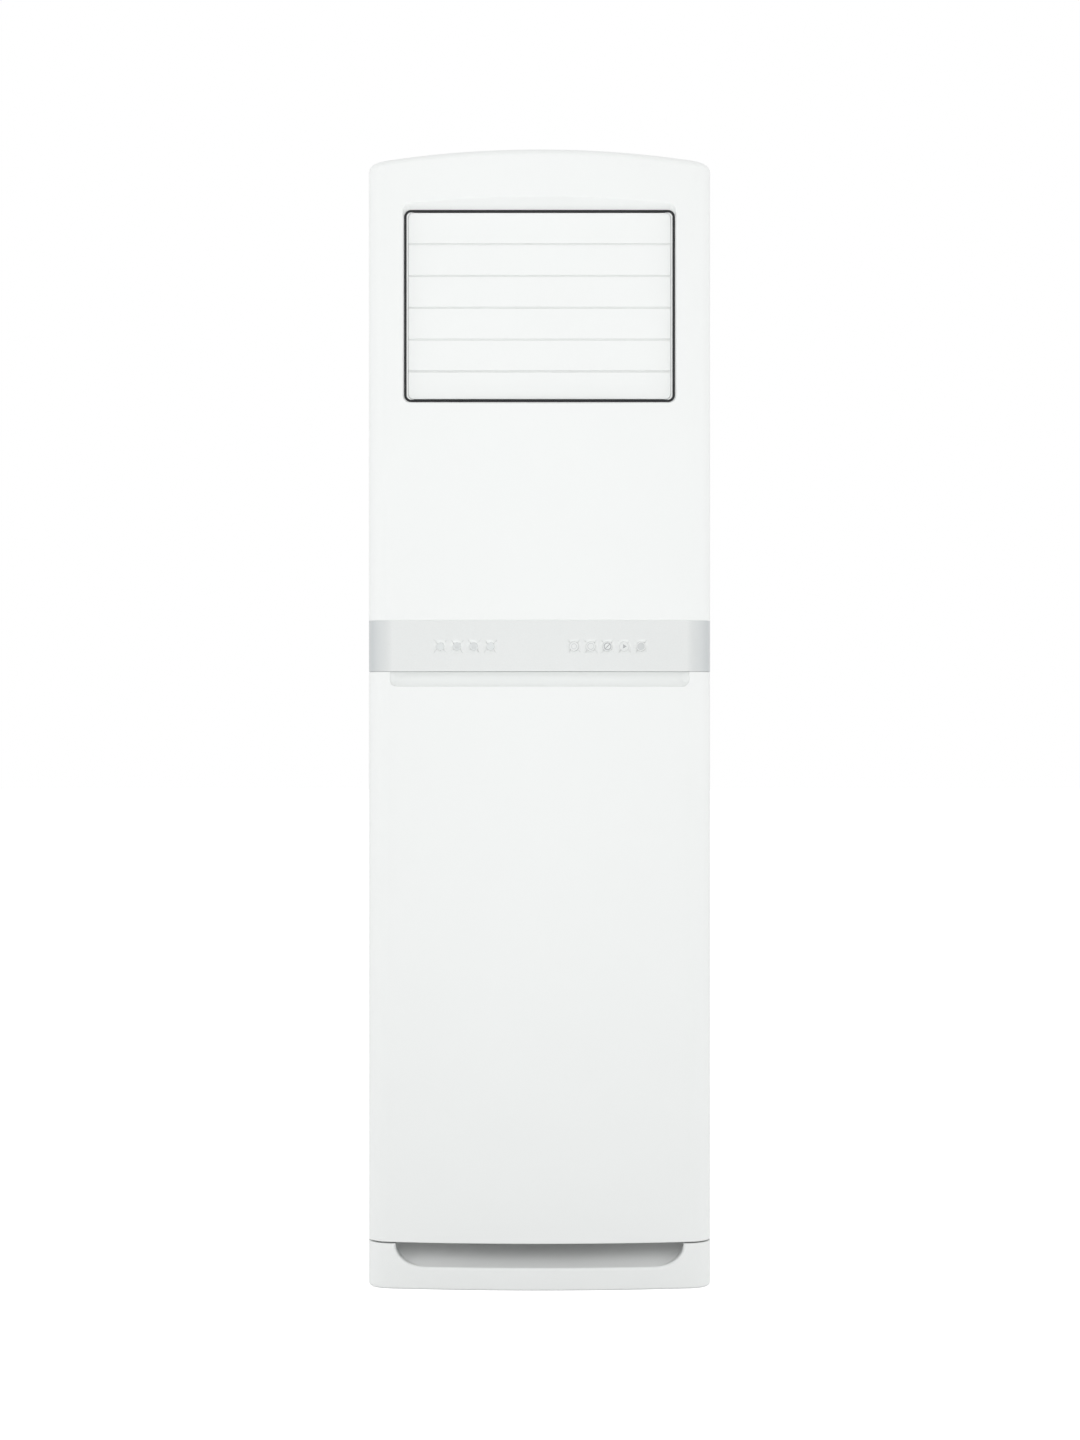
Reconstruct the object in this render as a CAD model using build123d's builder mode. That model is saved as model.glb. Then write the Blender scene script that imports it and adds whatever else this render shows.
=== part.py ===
from build123d import *
from math import acos, cos, degrees, radians, sin, sqrt
import os

os.makedirs("parts", exist_ok=True)

# Floor standing air conditioner, millimetres. The front faces -Y, the width runs along X, +Z is up,
# and the origin is on the floor under the middle of the case.

# ---------------------------------------------------------------- driving sizes: the case
case_width = 500.0
case_depth = 310.0
case_height = 1655.0
front_depth = 110.0             # front mouldings, from the foremost point back to the seam
plinth_height = 66.0
lower_panel_height = 828.5
band_height = 74.5
bow_radius = 1500.0             # bow of the front in plan
front_corner_radius = 35.0
crown_radius = 1917.0           # arch of the top, seen from the front
crown_corner_radius = 10.0      # rolled edge round the top
wall = 2.5                      # moulded plastic
sheet = 1.2                     # steel sheet
pan_sheet = 1.5                 # steel sheet of the base pan
panel_gap = 2.0                 # under the lower front panel
top_gap = 1.0                   # between the lower front panel and the band
rear_gap = 1.0                  # between the lower front panel and the cabinet
running_gap = 0.3               # beside moving pieces
flange = 14.0                   # turned-in edges
screw_head_height = 1.8
screw_head_radius = 4.0

# ---------------------------------------------------------------- driving sizes: the air outlet
outlet_drop = 85.3              # top of the crown down to the trim ring
outlet_recess = 23.5            # foremost point of the front back to the trim ring
trim_width = 394.0
trim_height = 279.4
trim_corner_radius = 10.0
trim_line = 3.3                 # width of the dark line
trim_depth = 3.5
brow_slope = 0.77               # rise of the brow for each millimetre forward
sill_slope = 0.17               # fall of the sill for each millimetre forward
jamb_slope = 0.14
louver_count = 6
last_louver_share = 0.892       # height of the lowest louver, as a share of the others'
louver_gap = 2.4                # groove between two louvers, seen from the front
louver_lap = 1.6                # overlap of their lapped edges behind the groove
louver_lap_gap = 0.6
louver_thickness = 6.0
louver_end_gap = 0.4
tunnel_inset = 2.2              # tunnel wall inside the trim ring's opening
tunnel_depth = 70.0             # trim ring's back face to the end of the louver frame
frame_wall = 3.0
frame_flange = 8.0              # flange outside the tunnel wall
pivot_radius = 2.5
pivot_clearance = 0.08
crank_radius = 12.0
crank_rest_angle = 50.0         # above the straight back direction
crank_pin_radius = 2.0
link_clearance = 0.2
link_width = 7.0
link_thickness = 3.0
vane_count = 7
vane_pitch = 48.0
vane_chord = 34.0
vane_thickness = 2.5
vane_set_back = 51.5            # trim ring's back face to the vanes' pivots

# ---------------------------------------------------------------- driving sizes: scoops and keys
finger_scoop_width = 436.0
finger_scoop_height = 21.0
finger_scoop_depth = 13.0
finger_scoop_corner = 10.0
plinth_scoop_width = 420.0
plinth_scoop_floor = 33.6
plinth_scoop_side = 42.0
plinth_scoop_depth = 60.0
plinth_scoop_level = 18.0       # level part of the scoop's floor
plinth_scoop_edge = 5.0         # rounding of the scoop's front edge
key_count = 5
key_radius = 7.0
key_pitch = 24.3
key_first_x = 50.0
key_travel = 0.8
key_flange = 1.5
lens_count = 4
lens_radius = 6.0
lens_first_x = -144.0
hinge_rise = 9.0                # hinge pin above the panel's lower edge
hinge_set_back = 15.0           # hinge pin behind the foremost point
hinge_pin_radius = 3.0
hinge_x = 104.0
tilt_clearance = 0.08

# ---------------------------------------------------------------- driving sizes: inside
deck_height = 690.0
fan_height = 430.0
fan_offset_x = -20.0
wheel_radius = 140.0
wheel_width = 99.0
blade_count = 30
blade_chord = 22.0
volute_step = 20.0              # growth of the volute in each quarter turn
tongue_gap = 9.0
volute_front = 5.0              # y of the volute's front plate
volute_width = 110.0
volute_wall = 2.0
inlet_radius = 112.0
motor_radius = 50.0
motor_length = 65.0
shaft_radius = 6.0
coil_width = 410.0
coil_length = 490.0
coil_thickness = 26.0
coil_tilt = 17.0
tube_radius = 4.8
tube_pitch = 60.0
tube_count = 8
filter_width = 424.0
filter_height = 560.0
filter_thickness = 7.0
filter_bottom = 95.0
grommet_bore = 32.0
grommet_x = 150.0
grommet_z = 150.0
anchor_spacing_x = 380.0
anchor_spacing_y = 140.0
anchor_hole_radius = 5.0
tie_hole_spacing = 200.0
tie_hole_radius = 2.6
tie_hole_drop = 40.0            # below the back panel's upper edge
arm_thickness = 3.0             # crank arms and hinge arms
catch_width = 22.0
catch_height = 14.0
catch_thickness = 16.0
keeper_sheet = 2.0
bead = 2.0                      # thickness of small welded and clipped plates

# ---------------------------------------------------------------- places worked out from the sizes
half_width = case_width / 2
front_y = -case_depth / 2
back_y = case_depth / 2
seam_y = front_y + front_depth
bow_centre_y = front_y + bow_radius
crown_centre_z = case_height - crown_radius
panel_z0 = plinth_height + panel_gap
panel_z1 = panel_z0 + lower_panel_height
band_z0 = panel_z1 + top_gap
band_z1 = band_z0 + band_height
eave_z = crown_centre_z + sqrt(crown_radius**2 - half_width**2)
side_top_z = eave_z - crown_corner_radius - 4.0
back_panel_y1 = back_y - screw_head_height
back_panel_y0 = back_panel_y1 - sheet
frame_plate_y0 = seam_y + sheet
frame_plate_y1 = frame_plate_y0 + sheet
hinge_y = front_y + hinge_set_back
hinge_z = panel_z0 + hinge_rise
swing_radius = panel_z1 - hinge_z
outlet_y = front_y + outlet_recess
trim_back_y = outlet_y + trim_depth
outlet_z1 = case_height - outlet_drop
outlet_z0 = outlet_z1 - trim_height
outlet_mid_z = (outlet_z0 + outlet_z1) / 2
opening_width = trim_width - 2 * trim_line
opening_z1 = outlet_z1 - trim_line
opening_z0 = outlet_z0 + trim_line
louver_pitch = (opening_z1 - opening_z0) / (louver_count - 1 + last_louver_share)
tunnel_half = opening_width / 2 - tunnel_inset
tunnel_z1 = opening_z1 + 1.6
tunnel_z0 = opening_z0 - 1.5
tunnel_end_y = trim_back_y + tunnel_depth
louver_half = tunnel_half - louver_end_gap
louver_front_y = outlet_y + 0.5
louver_pivot_y = louver_front_y + louver_thickness + 3.5
vane_pivot_y = trim_back_y + vane_set_back


# ---------------------------------------------------------------- shared shapes
def save(part, name):
    """Label a finished piece and write it under the name of its node."""
    part.label = name
    export_step(part, f"parts/{name}.step")


def front_view(y):
    """Plane that looks at the front: local x is X, local y is Z, extrusions go towards the front."""
    return Plane.XZ.offset(-y)


def side_view(x):
    """Plane seen from the right: local x is Y, local y is Z, extrusions go towards +X."""
    return Plane.YZ.offset(x)


def bow_y(x, inset=0.0):
    """Y of the bowed front, or of its inner face, at a distance x from the middle."""
    return bow_centre_y - sqrt((bow_radius - inset) ** 2 - x**2)


def front_block(z0, z1, inset=0.0, rear_y=seam_y):
    """Solid under the bowed front, between two heights."""
    half = half_width - inset
    with BuildPart() as block:
        with BuildSketch(Plane.XY.offset(z0)) as plan:
            with BuildLine():
                end_y = bow_y(half, inset)
                ThreePointArc((-half, end_y), (0, bow_y(0, inset)), (half, end_y))
                Polyline((half, end_y), (half, rear_y), (-half, rear_y), (-half, end_y))
            make_face()
            fillet(plan.vertices().group_by(Axis.Y)[0], front_corner_radius - inset)
        extrude(amount=z1 - z0)
    return block.part


def crown_prism(z0, y0, y1, inset=0.0, rounded=True):
    """Solid under the crowned top, from y0 to y1 and down to z0."""
    half = half_width - inset
    eave = crown_centre_z + sqrt((crown_radius - inset) ** 2 - half**2)
    with BuildPart() as prism:
        with BuildSketch(front_view(y1)) as outline:
            with BuildLine():
                ThreePointArc((-half, eave), (0, case_height - inset), (half, eave))
                Polyline((half, eave), (half, z0), (-half, z0), (-half, eave))
            make_face()
            if rounded:
                fillet(outline.vertices().group_by(Axis.Y)[-1], crown_corner_radius - inset)
        extrude(amount=y1 - y0)
    return prism.part


def crowned_front(z0, inset=0.0, rear_y=seam_y):
    """Solid under the bowed front and the crowned top, with one rolled edge round both."""
    rough_prism = crown_prism(z0, front_y - 1, rear_y, inset, rounded=False)
    rough = front_block(z0, case_height + 1, inset, rear_y) & rough_prism
    high_edges = rough.edges().filter_by(lambda edge: edge.center().Z > eave_z - inset - 1)
    rim = high_edges.filter_by(lambda edge: edge.center().Y < rear_y - 5)
    return rough.fillet(crown_corner_radius - inset, rim)


def swing_cylinder(radius):
    """Cylinder about the lower panel's hinge line, wider than the case."""
    with BuildPart() as swing:
        with BuildSketch(side_view(-case_width)):
            with Locations((hinge_y, hinge_z)):
                Circle(radius)
        extrude(amount=2 * case_width)
    return swing.part


def outlet_funnel(grow=0.0):
    """Recess of the outlet: straight round the trim ring, then widening to the brow, sill and jambs."""
    clearance = 0.3
    reach = outlet_recess + 6.0
    half = trim_width / 2 + clearance + grow
    low = outlet_z0 - clearance - grow
    high = outlet_z1 + clearance + grow
    low_front = low - sill_slope * reach
    high_front = high + brow_slope * reach
    corner = trim_corner_radius + clearance + grow
    with BuildPart() as funnel:
        with BuildSketch(front_view(outlet_y)):
            with Locations((0, (low + high) / 2)):
                RectangleRounded(2 * half, high - low, corner)
        with BuildSketch(front_view(outlet_y - reach)):
            with Locations((0, (low_front + high_front) / 2)):
                RectangleRounded(2 * (half + jamb_slope * reach), high_front - low_front, corner)
        loft(ruled=True)
        with BuildSketch(front_view(trim_back_y)):
            with Locations((0, (low + high) / 2)):
                RectangleRounded(2 * half, high - low, corner)
        extrude(amount=trim_depth)
    return funnel.part


def finger_scoop(grow=0.0):
    """Finger scoop along the top of the lower panel, following the bow of the front."""
    half_angle = 12.0
    direction = Vector(-sin(radians(half_angle)), -cos(radians(half_angle)), 0)
    start = Plane(origin=(0, bow_centre_y, 0), x_dir=direction, z_dir=direction.cross(Vector(0, 0, 1)))
    deep = bow_radius - finger_scoop_depth - grow
    low = panel_z1 - finger_scoop_height - grow
    proud = bow_radius + 4.0
    over = panel_z1 + 6.0
    lip = 3.0
    bend = finger_scoop_height - lip
    bend_radius = 2 * finger_scoop_depth
    with BuildPart() as scoop:
        with BuildSketch(start):
            with BuildLine():
                Polyline((bow_radius - lip, low), (proud, low), (proud, over), (deep, over))
                Line((deep, over), (deep, low + bend))
                RadiusArc((deep, low + bend), (bow_radius - lip, low), -bend_radius)
            make_face()
        revolve(axis=Axis((0, bow_centre_y, 0), (0, 0, 1)), revolution_arc=2 * half_angle)
        with BuildSketch(front_view(0)) as outline:
            with BuildLine():
                half = finger_scoop_width / 2 + grow
                Polyline((-half, over), (-half, low), (half, low), (half, over), close=True)
            make_face()
            fillet(outline.vertices().group_by(Axis.Y)[0], finger_scoop_corner + grow)
        extrude(amount=case_depth, mode=Mode.INTERSECT)
    return scoop.part


def plinth_scoop(grow=0.0):
    """Wide scoop in the plinth: its floor runs back level, then curves up under the lower panel."""
    half = plinth_scoop_width / 2 + grow
    side = plinth_scoop_side + grow
    low = plinth_scoop_floor - grow
    high = plinth_height + 1.0
    rise = plinth_height - 3.0 - plinth_scoop_floor
    deep = front_y + plinth_scoop_depth
    level = front_y + plinth_scoop_level
    with BuildPart() as scoop:
        with BuildSketch(front_view(deep + grow)):
            with BuildLine():
                Line((-half, high), (-half, low + rise))
                EllipticalCenterArc((-half + side, low + rise), side, rise, 180, arc_size=90)
                Line((-half + side, low), (half - side, low))
                EllipticalCenterArc((half - side, low + rise), side, rise, 270, arc_size=90)
                Line((half, low + rise), (half, high))
                Line((half, high), (-half, high))
            make_face()
        extrude(amount=plinth_scoop_depth + 10)
        with BuildSketch(side_view(-half)):
            with BuildLine():
                Line((front_y - 10, low), (level, low))
                TangentArc((level, low), (deep + grow, high), tangent=(1, 0))
                Polyline((deep + grow, high), (front_y - 10, high), (front_y - 10, low))
            make_face()
        extrude(amount=2 * half, mode=Mode.INTERSECT)
    return scoop.part


# ---------------------------------------------------------------- base
lip_y0 = seam_y + flange
with BuildPart() as base_pan:
    with Locations((0, seam_y, 0)):
        Box(case_width, back_y - seam_y, plinth_height, align=(Align.CENTER, Align.MIN, Align.MIN))
    with Locations((0, seam_y + pan_sheet, pan_sheet)):
        Box(
            case_width - 2 * pan_sheet,
            back_y - seam_y - 2 * pan_sheet,
            plinth_height - 2 * pan_sheet,
            align=(Align.CENTER, Align.MIN, Align.MIN),
            mode=Mode.SUBTRACT,
        )
    with Locations((0, lip_y0, pan_sheet)):
        Box(
            case_width - 2 * flange,
            back_y - seam_y - 2 * flange,
            plinth_height,
            align=(Align.CENTER, Align.MIN, Align.MIN),
            mode=Mode.SUBTRACT,
        )
    with BuildSketch():
        with Locations((0, (seam_y + back_y) / 2)):
            with GridLocations(anchor_spacing_x, anchor_spacing_y, 2, 2):
                Circle(anchor_hole_radius)
    extrude(amount=pan_sheet, mode=Mode.SUBTRACT)
save(base_pan.part, "base_pan")

skirt_outer = front_block(0, plinth_height)
skirt_inner = front_block(-1, plinth_height - wall, wall, seam_y + 1)
skirt_scoop_skin = plinth_scoop(wall) & skirt_outer
with BuildPart() as base_skirt:
    add(skirt_outer)
    add(skirt_inner, mode=Mode.SUBTRACT)
    add(skirt_scoop_skin)
    add(plinth_scoop(), mode=Mode.SUBTRACT)
    scoop_rim = base_skirt.edges().filter_by_position(Axis.Z, plinth_scoop_floor - 1, plinth_scoop_floor + 1)
    fillet(scoop_rim.sort_by(Axis.Y)[0], plinth_scoop_edge)
save(base_skirt.part, "base_skirt")

# ---------------------------------------------------------------- steel cabinet
with BuildPart() as side_panel_right:
    with BuildSketch(Plane.XY.offset(plinth_height)):
        with Locations((half_width, seam_y)):
            Rectangle(sheet, back_panel_y0 - seam_y, align=(Align.MAX, Align.MIN))
            Rectangle(flange, sheet, align=(Align.MAX, Align.MIN))
        with Locations((half_width, back_panel_y0)):
            Rectangle(flange, sheet, align=(Align.MAX, Align.MAX))
    extrude(amount=side_top_z - plinth_height)
save(side_panel_right.part, "side_panel_right")

with BuildPart() as side_panel_left:
    add(side_panel_right.part)
    mirror(about=Plane.YZ, mode=Mode.REPLACE)
save(side_panel_left.part, "side_panel_left")

with BuildPart() as back_panel:
    with BuildSketch(front_view(back_panel_y1)):
        with Locations((0, plinth_height)):
            Rectangle(case_width - 2 * sheet, side_top_z - plinth_height, align=(Align.CENTER, Align.MIN))
        with Locations((grommet_x, grommet_z)):
            Circle(grommet_bore + wall, mode=Mode.SUBTRACT)
        with Locations((0, side_top_z - tie_hole_drop)):
            with GridLocations(tie_hole_spacing, 1, 2, 1):
                Circle(tie_hole_radius, mode=Mode.SUBTRACT)
    extrude(amount=sheet)
save(back_panel.part, "back_panel")

intake_margin = 10.0
intake_half = filter_width / 2 - intake_margin
intake_z0 = filter_bottom + intake_margin
intake_z1 = filter_bottom + filter_height - intake_margin
plate_drop = 8.0
duct_room = 1.0
rail_height = 9.0
rail_lip = 6.0
shelf_width = 120.0
duct_wall = 12.0
duct_half = tunnel_half + duct_wall
with BuildPart() as front_frame:
    with BuildSketch(front_view(frame_plate_y1)):
        with Locations((0, plinth_height)):
            plate_height = side_top_z - plinth_height - plate_drop
            Rectangle(case_width - 2 * sheet, plate_height, align=(Align.CENTER, Align.MIN))
        with Locations((0, (intake_z0 + intake_z1) / 2)):
            Rectangle(2 * intake_half, intake_z1 - intake_z0, mode=Mode.SUBTRACT)
        with Locations((0, (tunnel_z0 + tunnel_z1) / 2)):
            window_height = tunnel_z1 - tunnel_z0 + 2 * (duct_wall + plate_drop)
            Rectangle(2 * duct_half + duct_room, window_height, mode=Mode.SUBTRACT)
    extrude(amount=sheet)
    with BuildSketch(Plane.XY.offset(filter_bottom)):
        for side in (-1, 1):
            rail_x = side * (filter_width / 2 + running_gap)
            with Locations((rail_x, frame_plate_y0)):
                Rectangle(
                    sheet, rail_height, align=(Align.MIN if side > 0 else Align.MAX, Align.MAX)
                )
            with Locations((rail_x - side * rail_lip, frame_plate_y0 - rail_height)):
                Rectangle(
                    rail_lip + sheet, sheet, align=(Align.MIN if side > 0 else Align.MAX, Align.MIN)
                )
    extrude(amount=filter_height)
    with Locations((0, frame_plate_y0, filter_bottom)):
        Box(shelf_width, rail_height, sheet, align=(Align.CENTER, Align.MAX, Align.MAX))
save(front_frame.part, "front_frame")

with BuildPart() as top_cap:
    add(crown_prism(side_top_z, seam_y, back_y))
    add(crown_prism(side_top_z - 1, seam_y - 1, back_y - wall, wall), mode=Mode.SUBTRACT)
save(top_cap.part, "top_cap")

# ---------------------------------------------------------------- front mouldings
upper_solid = crowned_front(band_z1)
upper_hollow = crowned_front(band_z1 - 1, wall, seam_y + 1)
outlet_tub = outlet_funnel(wall) & upper_solid
rib_rise = 90.0
with BuildPart() as upper_front:
    add(upper_solid)
    add(upper_hollow, mode=Mode.SUBTRACT)
    for level in (band_z1 + rib_rise, band_z1 + 2 * rib_rise):
        shelf_hole = front_block(level - 1, level + 2 * wall, wall + flange, back_y)
        add(front_block(level, level + wall, wall / 2) - shelf_hole)
    add(outlet_tub)
    add(outlet_funnel(), mode=Mode.SUBTRACT)
save(upper_front.part, "upper_front")


def key_x(number):
    """X of a key, counted from 0 at the middle of the case outwards."""
    return key_first_x + number * key_pitch


def lens_x(number):
    """X of an indicator lens, counted from 0 at the left."""
    return lens_first_x + number * key_pitch


key_z = (band_z0 + band_z1) / 2 - 1.0
board_set_back = 24.0
board_y = bow_y(key_x(key_count - 1), wall) + board_set_back
board_half = 155.0
board_height = 46.0
board_sheet = 1.6
boss_radius = 3.5
with BuildPart() as control_band:
    add(front_block(band_z0 - 10, band_z1))
    add(front_block(band_z0 - 11, band_z0, wall, seam_y + 1), mode=Mode.SUBTRACT)
    add(front_block(band_z0 + wall, band_z1 - wall, wall, seam_y + 1), mode=Mode.SUBTRACT)
    add(front_block(band_z0 - 1, band_z1 + 1, wall + flange, seam_y + 1), mode=Mode.SUBTRACT)
    add(swing_cylinder(swing_radius + top_gap), mode=Mode.SUBTRACT)
    with BuildSketch(front_view(board_y)):
        with Locations((0, key_z)):
            with GridLocations(2 * board_half - 12, board_height - 10, 2, 2):   # boss middles
                Circle(boss_radius)
    extrude(amount=board_y - bow_y(board_half, wall / 2))
    with BuildSketch(front_view(front_y + 30)):
        for number in range(key_count):
            with Locations((key_x(number), key_z)):
                Circle(key_radius + running_gap)
        for number in range(lens_count):
            with Locations((lens_x(number), key_z)):
                Circle(lens_radius + 0.1)
    extrude(amount=40, mode=Mode.SUBTRACT)
save(control_band.part, "control_band")

# Lower front panel: a deep tray hinged along its foot, with intake slots in both returns.
ear_gap = 2.0
ear_thickness = 8.0
ear_radius = hinge_pin_radius + tilt_clearance + 3.0
catch_x = 190.0
catch_z = panel_z1 - 28.0
catch_y = frame_plate_y0 - catch_thickness
slot_width = 6.0
slot_length = 130.0
slot_columns = 4
slot_rows = 5
slot_pitch = 10.5
slot_mid_y = seam_y - rear_gap - 26.0
panel_rear_y = seam_y - rear_gap
slot_mid_z = (panel_z0 + panel_z1) / 2 - 10.0
slot_row_pitch = slot_length + 14.0
rib_levels = [slot_mid_z + (row + 0.5) * slot_row_pitch for row in range(-slot_rows // 2 + 1, slot_rows // 2)]
bay_floors = [panel_z0 + wall] + [level + wall / 2 for level in rib_levels]
bay_tops = [level - wall / 2 for level in rib_levels] + [panel_z1 - wall - 8]
notch_y = bow_y(hinge_x + ear_gap + arm_thickness, wall) + 0.5
stem_width = 8.0
stem_height = 12.0
stem_gap = 0.4                  # sunk into the keeper's back
panel_outer = front_block(panel_z0, panel_z1, 0, panel_rear_y) & swing_cylinder(swing_radius)
finger_skin = finger_scoop(wall) & panel_outer
with BuildPart() as lower_panel:
    add(panel_outer)
    for bay_floor, bay_top in zip(bay_floors, bay_tops):
        add(front_block(bay_floor, bay_top, wall, seam_y), mode=Mode.SUBTRACT)
    add(front_block(panel_z0 - 1, panel_z1 + 1, wall + flange, seam_y), mode=Mode.SUBTRACT)
    add(finger_skin)
    add(finger_scoop(), mode=Mode.SUBTRACT)
    with BuildSketch(side_view(-half_width - 1)):
        with Locations((slot_mid_y, slot_mid_z)):
            with GridLocations(slot_pitch, slot_row_pitch, slot_columns, slot_rows):
                Rectangle(slot_width, slot_length)
    extrude(amount=case_width + 2, mode=Mode.SUBTRACT)
    for side in (-1, 1):
        with Locations((side * (hinge_x + arm_thickness / 2), notch_y, panel_z0)):
            Box(
                arm_thickness + 2 * ear_gap,
                flange + 6,
                4 * wall,
                align=(Align.CENTER, Align.MIN, Align.CENTER),
                mode=Mode.SUBTRACT,
            )
        ear_x = side * (hinge_x + arm_thickness + ear_gap + ear_thickness / 2) - ear_thickness / 2
        with BuildSketch(side_view(ear_x)):
            with Locations((hinge_y, hinge_z)):
                Circle(ear_radius)
                Rectangle(hinge_set_back - wall + 1, 2 * ear_radius, align=(Align.MAX, Align.CENTER))
            with Locations((hinge_y, hinge_z)):
                Circle(hinge_pin_radius + tilt_clearance, mode=Mode.SUBTRACT)
        extrude(amount=ear_thickness)
        with Locations((side * catch_x, bow_y(catch_x, wall / 2), catch_z)):
            stem_length = catch_y - keeper_sheet - stem_gap - bow_y(catch_x, wall / 2)
            Box(stem_width, stem_length, stem_height, align=(Align.CENTER, Align.MIN, Align.CENTER))
save(lower_panel.part, "lower_panel")

with BuildPart() as catch_keepers:
    with BuildSketch(front_view(catch_y - stem_gap)):
        with Locations((0, catch_z)):
            with GridLocations(2 * catch_x, 1, 2, 1):
                Rectangle(catch_width, catch_height)
    extrude(amount=keeper_sheet)
save(catch_keepers.part, "catch_keepers")

with BuildPart() as catch_magnets:
    with BuildSketch(front_view(frame_plate_y0)):
        with Locations((0, catch_z)):
            with GridLocations(2 * catch_x, 1, 2, 1):
                Rectangle(catch_width, catch_height)
    extrude(amount=catch_thickness)
save(catch_magnets.part, "catch_magnets")

# Hinge brackets: a foot on the plinth moulding's deck, an arm forward and a pin for the panel's ear.
foot_y0 = front_y + plinth_scoop_depth + 6.0
foot_y1 = seam_y - 3.0
foot_width = 26.0
arm_half = 5.0
pin_length = arm_thickness + ear_gap + ear_thickness + 1.0
with BuildPart() as hinge_brackets:
    for side in (-1, 1):
        with Locations((side * (hinge_x - 4), foot_y0, plinth_height)):
            Box(foot_width, foot_y1 - foot_y0, bead, align=(Align.CENTER, Align.MIN, Align.MIN))
        arm_x = side * (hinge_x + arm_thickness / 2) - arm_thickness / 2
        with BuildSketch(side_view(arm_x)):
            with BuildLine():
                Polyline(
                    (hinge_y, hinge_z - arm_half),
                    (foot_y0, hinge_z - arm_half),
                    (foot_y0, plinth_height),
                    (foot_y1, plinth_height),
                    (foot_y1, hinge_z),
                    (foot_y0, hinge_z + arm_half),
                    (hinge_y, hinge_z + arm_half),
                    close=True,
                )
            make_face()
            with Locations((hinge_y, hinge_z)):
                Circle(arm_half)
        extrude(amount=arm_thickness)
        pin_x = hinge_x if side > 0 else -hinge_x - pin_length
        with BuildSketch(side_view(pin_x)):
            with Locations((hinge_y, hinge_z)):
                Circle(hinge_pin_radius)
        extrude(amount=pin_length)
save(hinge_brackets.part, "hinge_brackets")

# ---------------------------------------------------------------- keys, lenses and display board
band_face = front_block(band_z0, band_z1, 0.1)
plunger_radius = 2.5
switch_height = 3.5
plunger_y = board_y - switch_height - key_travel - 0.1
for number in range(key_count):
    cap_x = key_x(number)
    flange_y = bow_y(cap_x + key_radius + key_flange, wall) + running_gap
    with BuildPart() as key:
        with BuildSketch(front_view(flange_y + bead)):
            with Locations((cap_x, key_z)):
                Circle(key_radius)
        extrude(amount=front_depth)
        add(band_face, mode=Mode.INTERSECT)
        with BuildSketch(front_view(flange_y + bead)):
            with Locations((cap_x, key_z)):
                Circle(key_radius + key_flange)
        extrude(amount=bead)
        with BuildSketch(front_view(plunger_y)):
            with Locations((cap_x, key_z)):
                Circle(plunger_radius)
        extrude(amount=plunger_y - flange_y - bead / 2)
    save(key.part, f"key_{number + 1}")

lens_depth = 8.0
with BuildPart() as indicator_lenses:
    with BuildSketch(front_view(bow_y(lens_first_x, wall) + lens_depth)):
        for number in range(lens_count):
            with Locations((lens_x(number), key_z)):
                Circle(lens_radius)
    extrude(amount=front_depth)
    add(band_face, mode=Mode.INTERSECT)
save(indicator_lenses.part, "indicator_lenses")

switch_width = 6.5
lamp_width = 5.0
plug_x = -60.0
plug_depth = 6.0
with BuildPart() as display_board:
    with BuildSketch(front_view(board_y + board_sheet)):
        with Locations((0, key_z)):
            Rectangle(2 * board_half, board_height)
    extrude(amount=board_sheet)
    with BuildSketch(front_view(board_y)):
        for number in range(key_count):
            with Locations((key_x(number), key_z)):
                Rectangle(switch_width, switch_width)
        for number in range(lens_count):
            with Locations((lens_x(number), key_z)):
                Rectangle(lamp_width, lamp_width)
    extrude(amount=switch_height)
    with BuildSketch(front_view(board_y + board_sheet + plug_depth)):
        with Locations((plug_x, key_z)):
            Rectangle(28, 14)
    extrude(amount=plug_depth)
save(display_board.part, "display_board")

# ---------------------------------------------------------------- outlet: trim ring and louver frame
with BuildPart() as outlet_trim:
    with BuildSketch(front_view(trim_back_y)):
        with Locations((0, outlet_mid_z)):
            RectangleRounded(trim_width, trim_height, trim_corner_radius)
            RectangleRounded(
                opening_width, trim_height - 2 * trim_line, trim_corner_radius - trim_line, mode=Mode.SUBTRACT
            )
    extrude(amount=trim_depth)
save(outlet_trim.part, "outlet_trim")


def louver_top(number):
    """Upper dividing line of a louver, counted from 0 at the top."""
    return opening_z1 - number * louver_pitch


def louver_pivot_z(number):
    return louver_top(number) - louver_pitch / 2


def vane_x(number):
    return (number - (vane_count - 1) / 2) * vane_pitch


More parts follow.
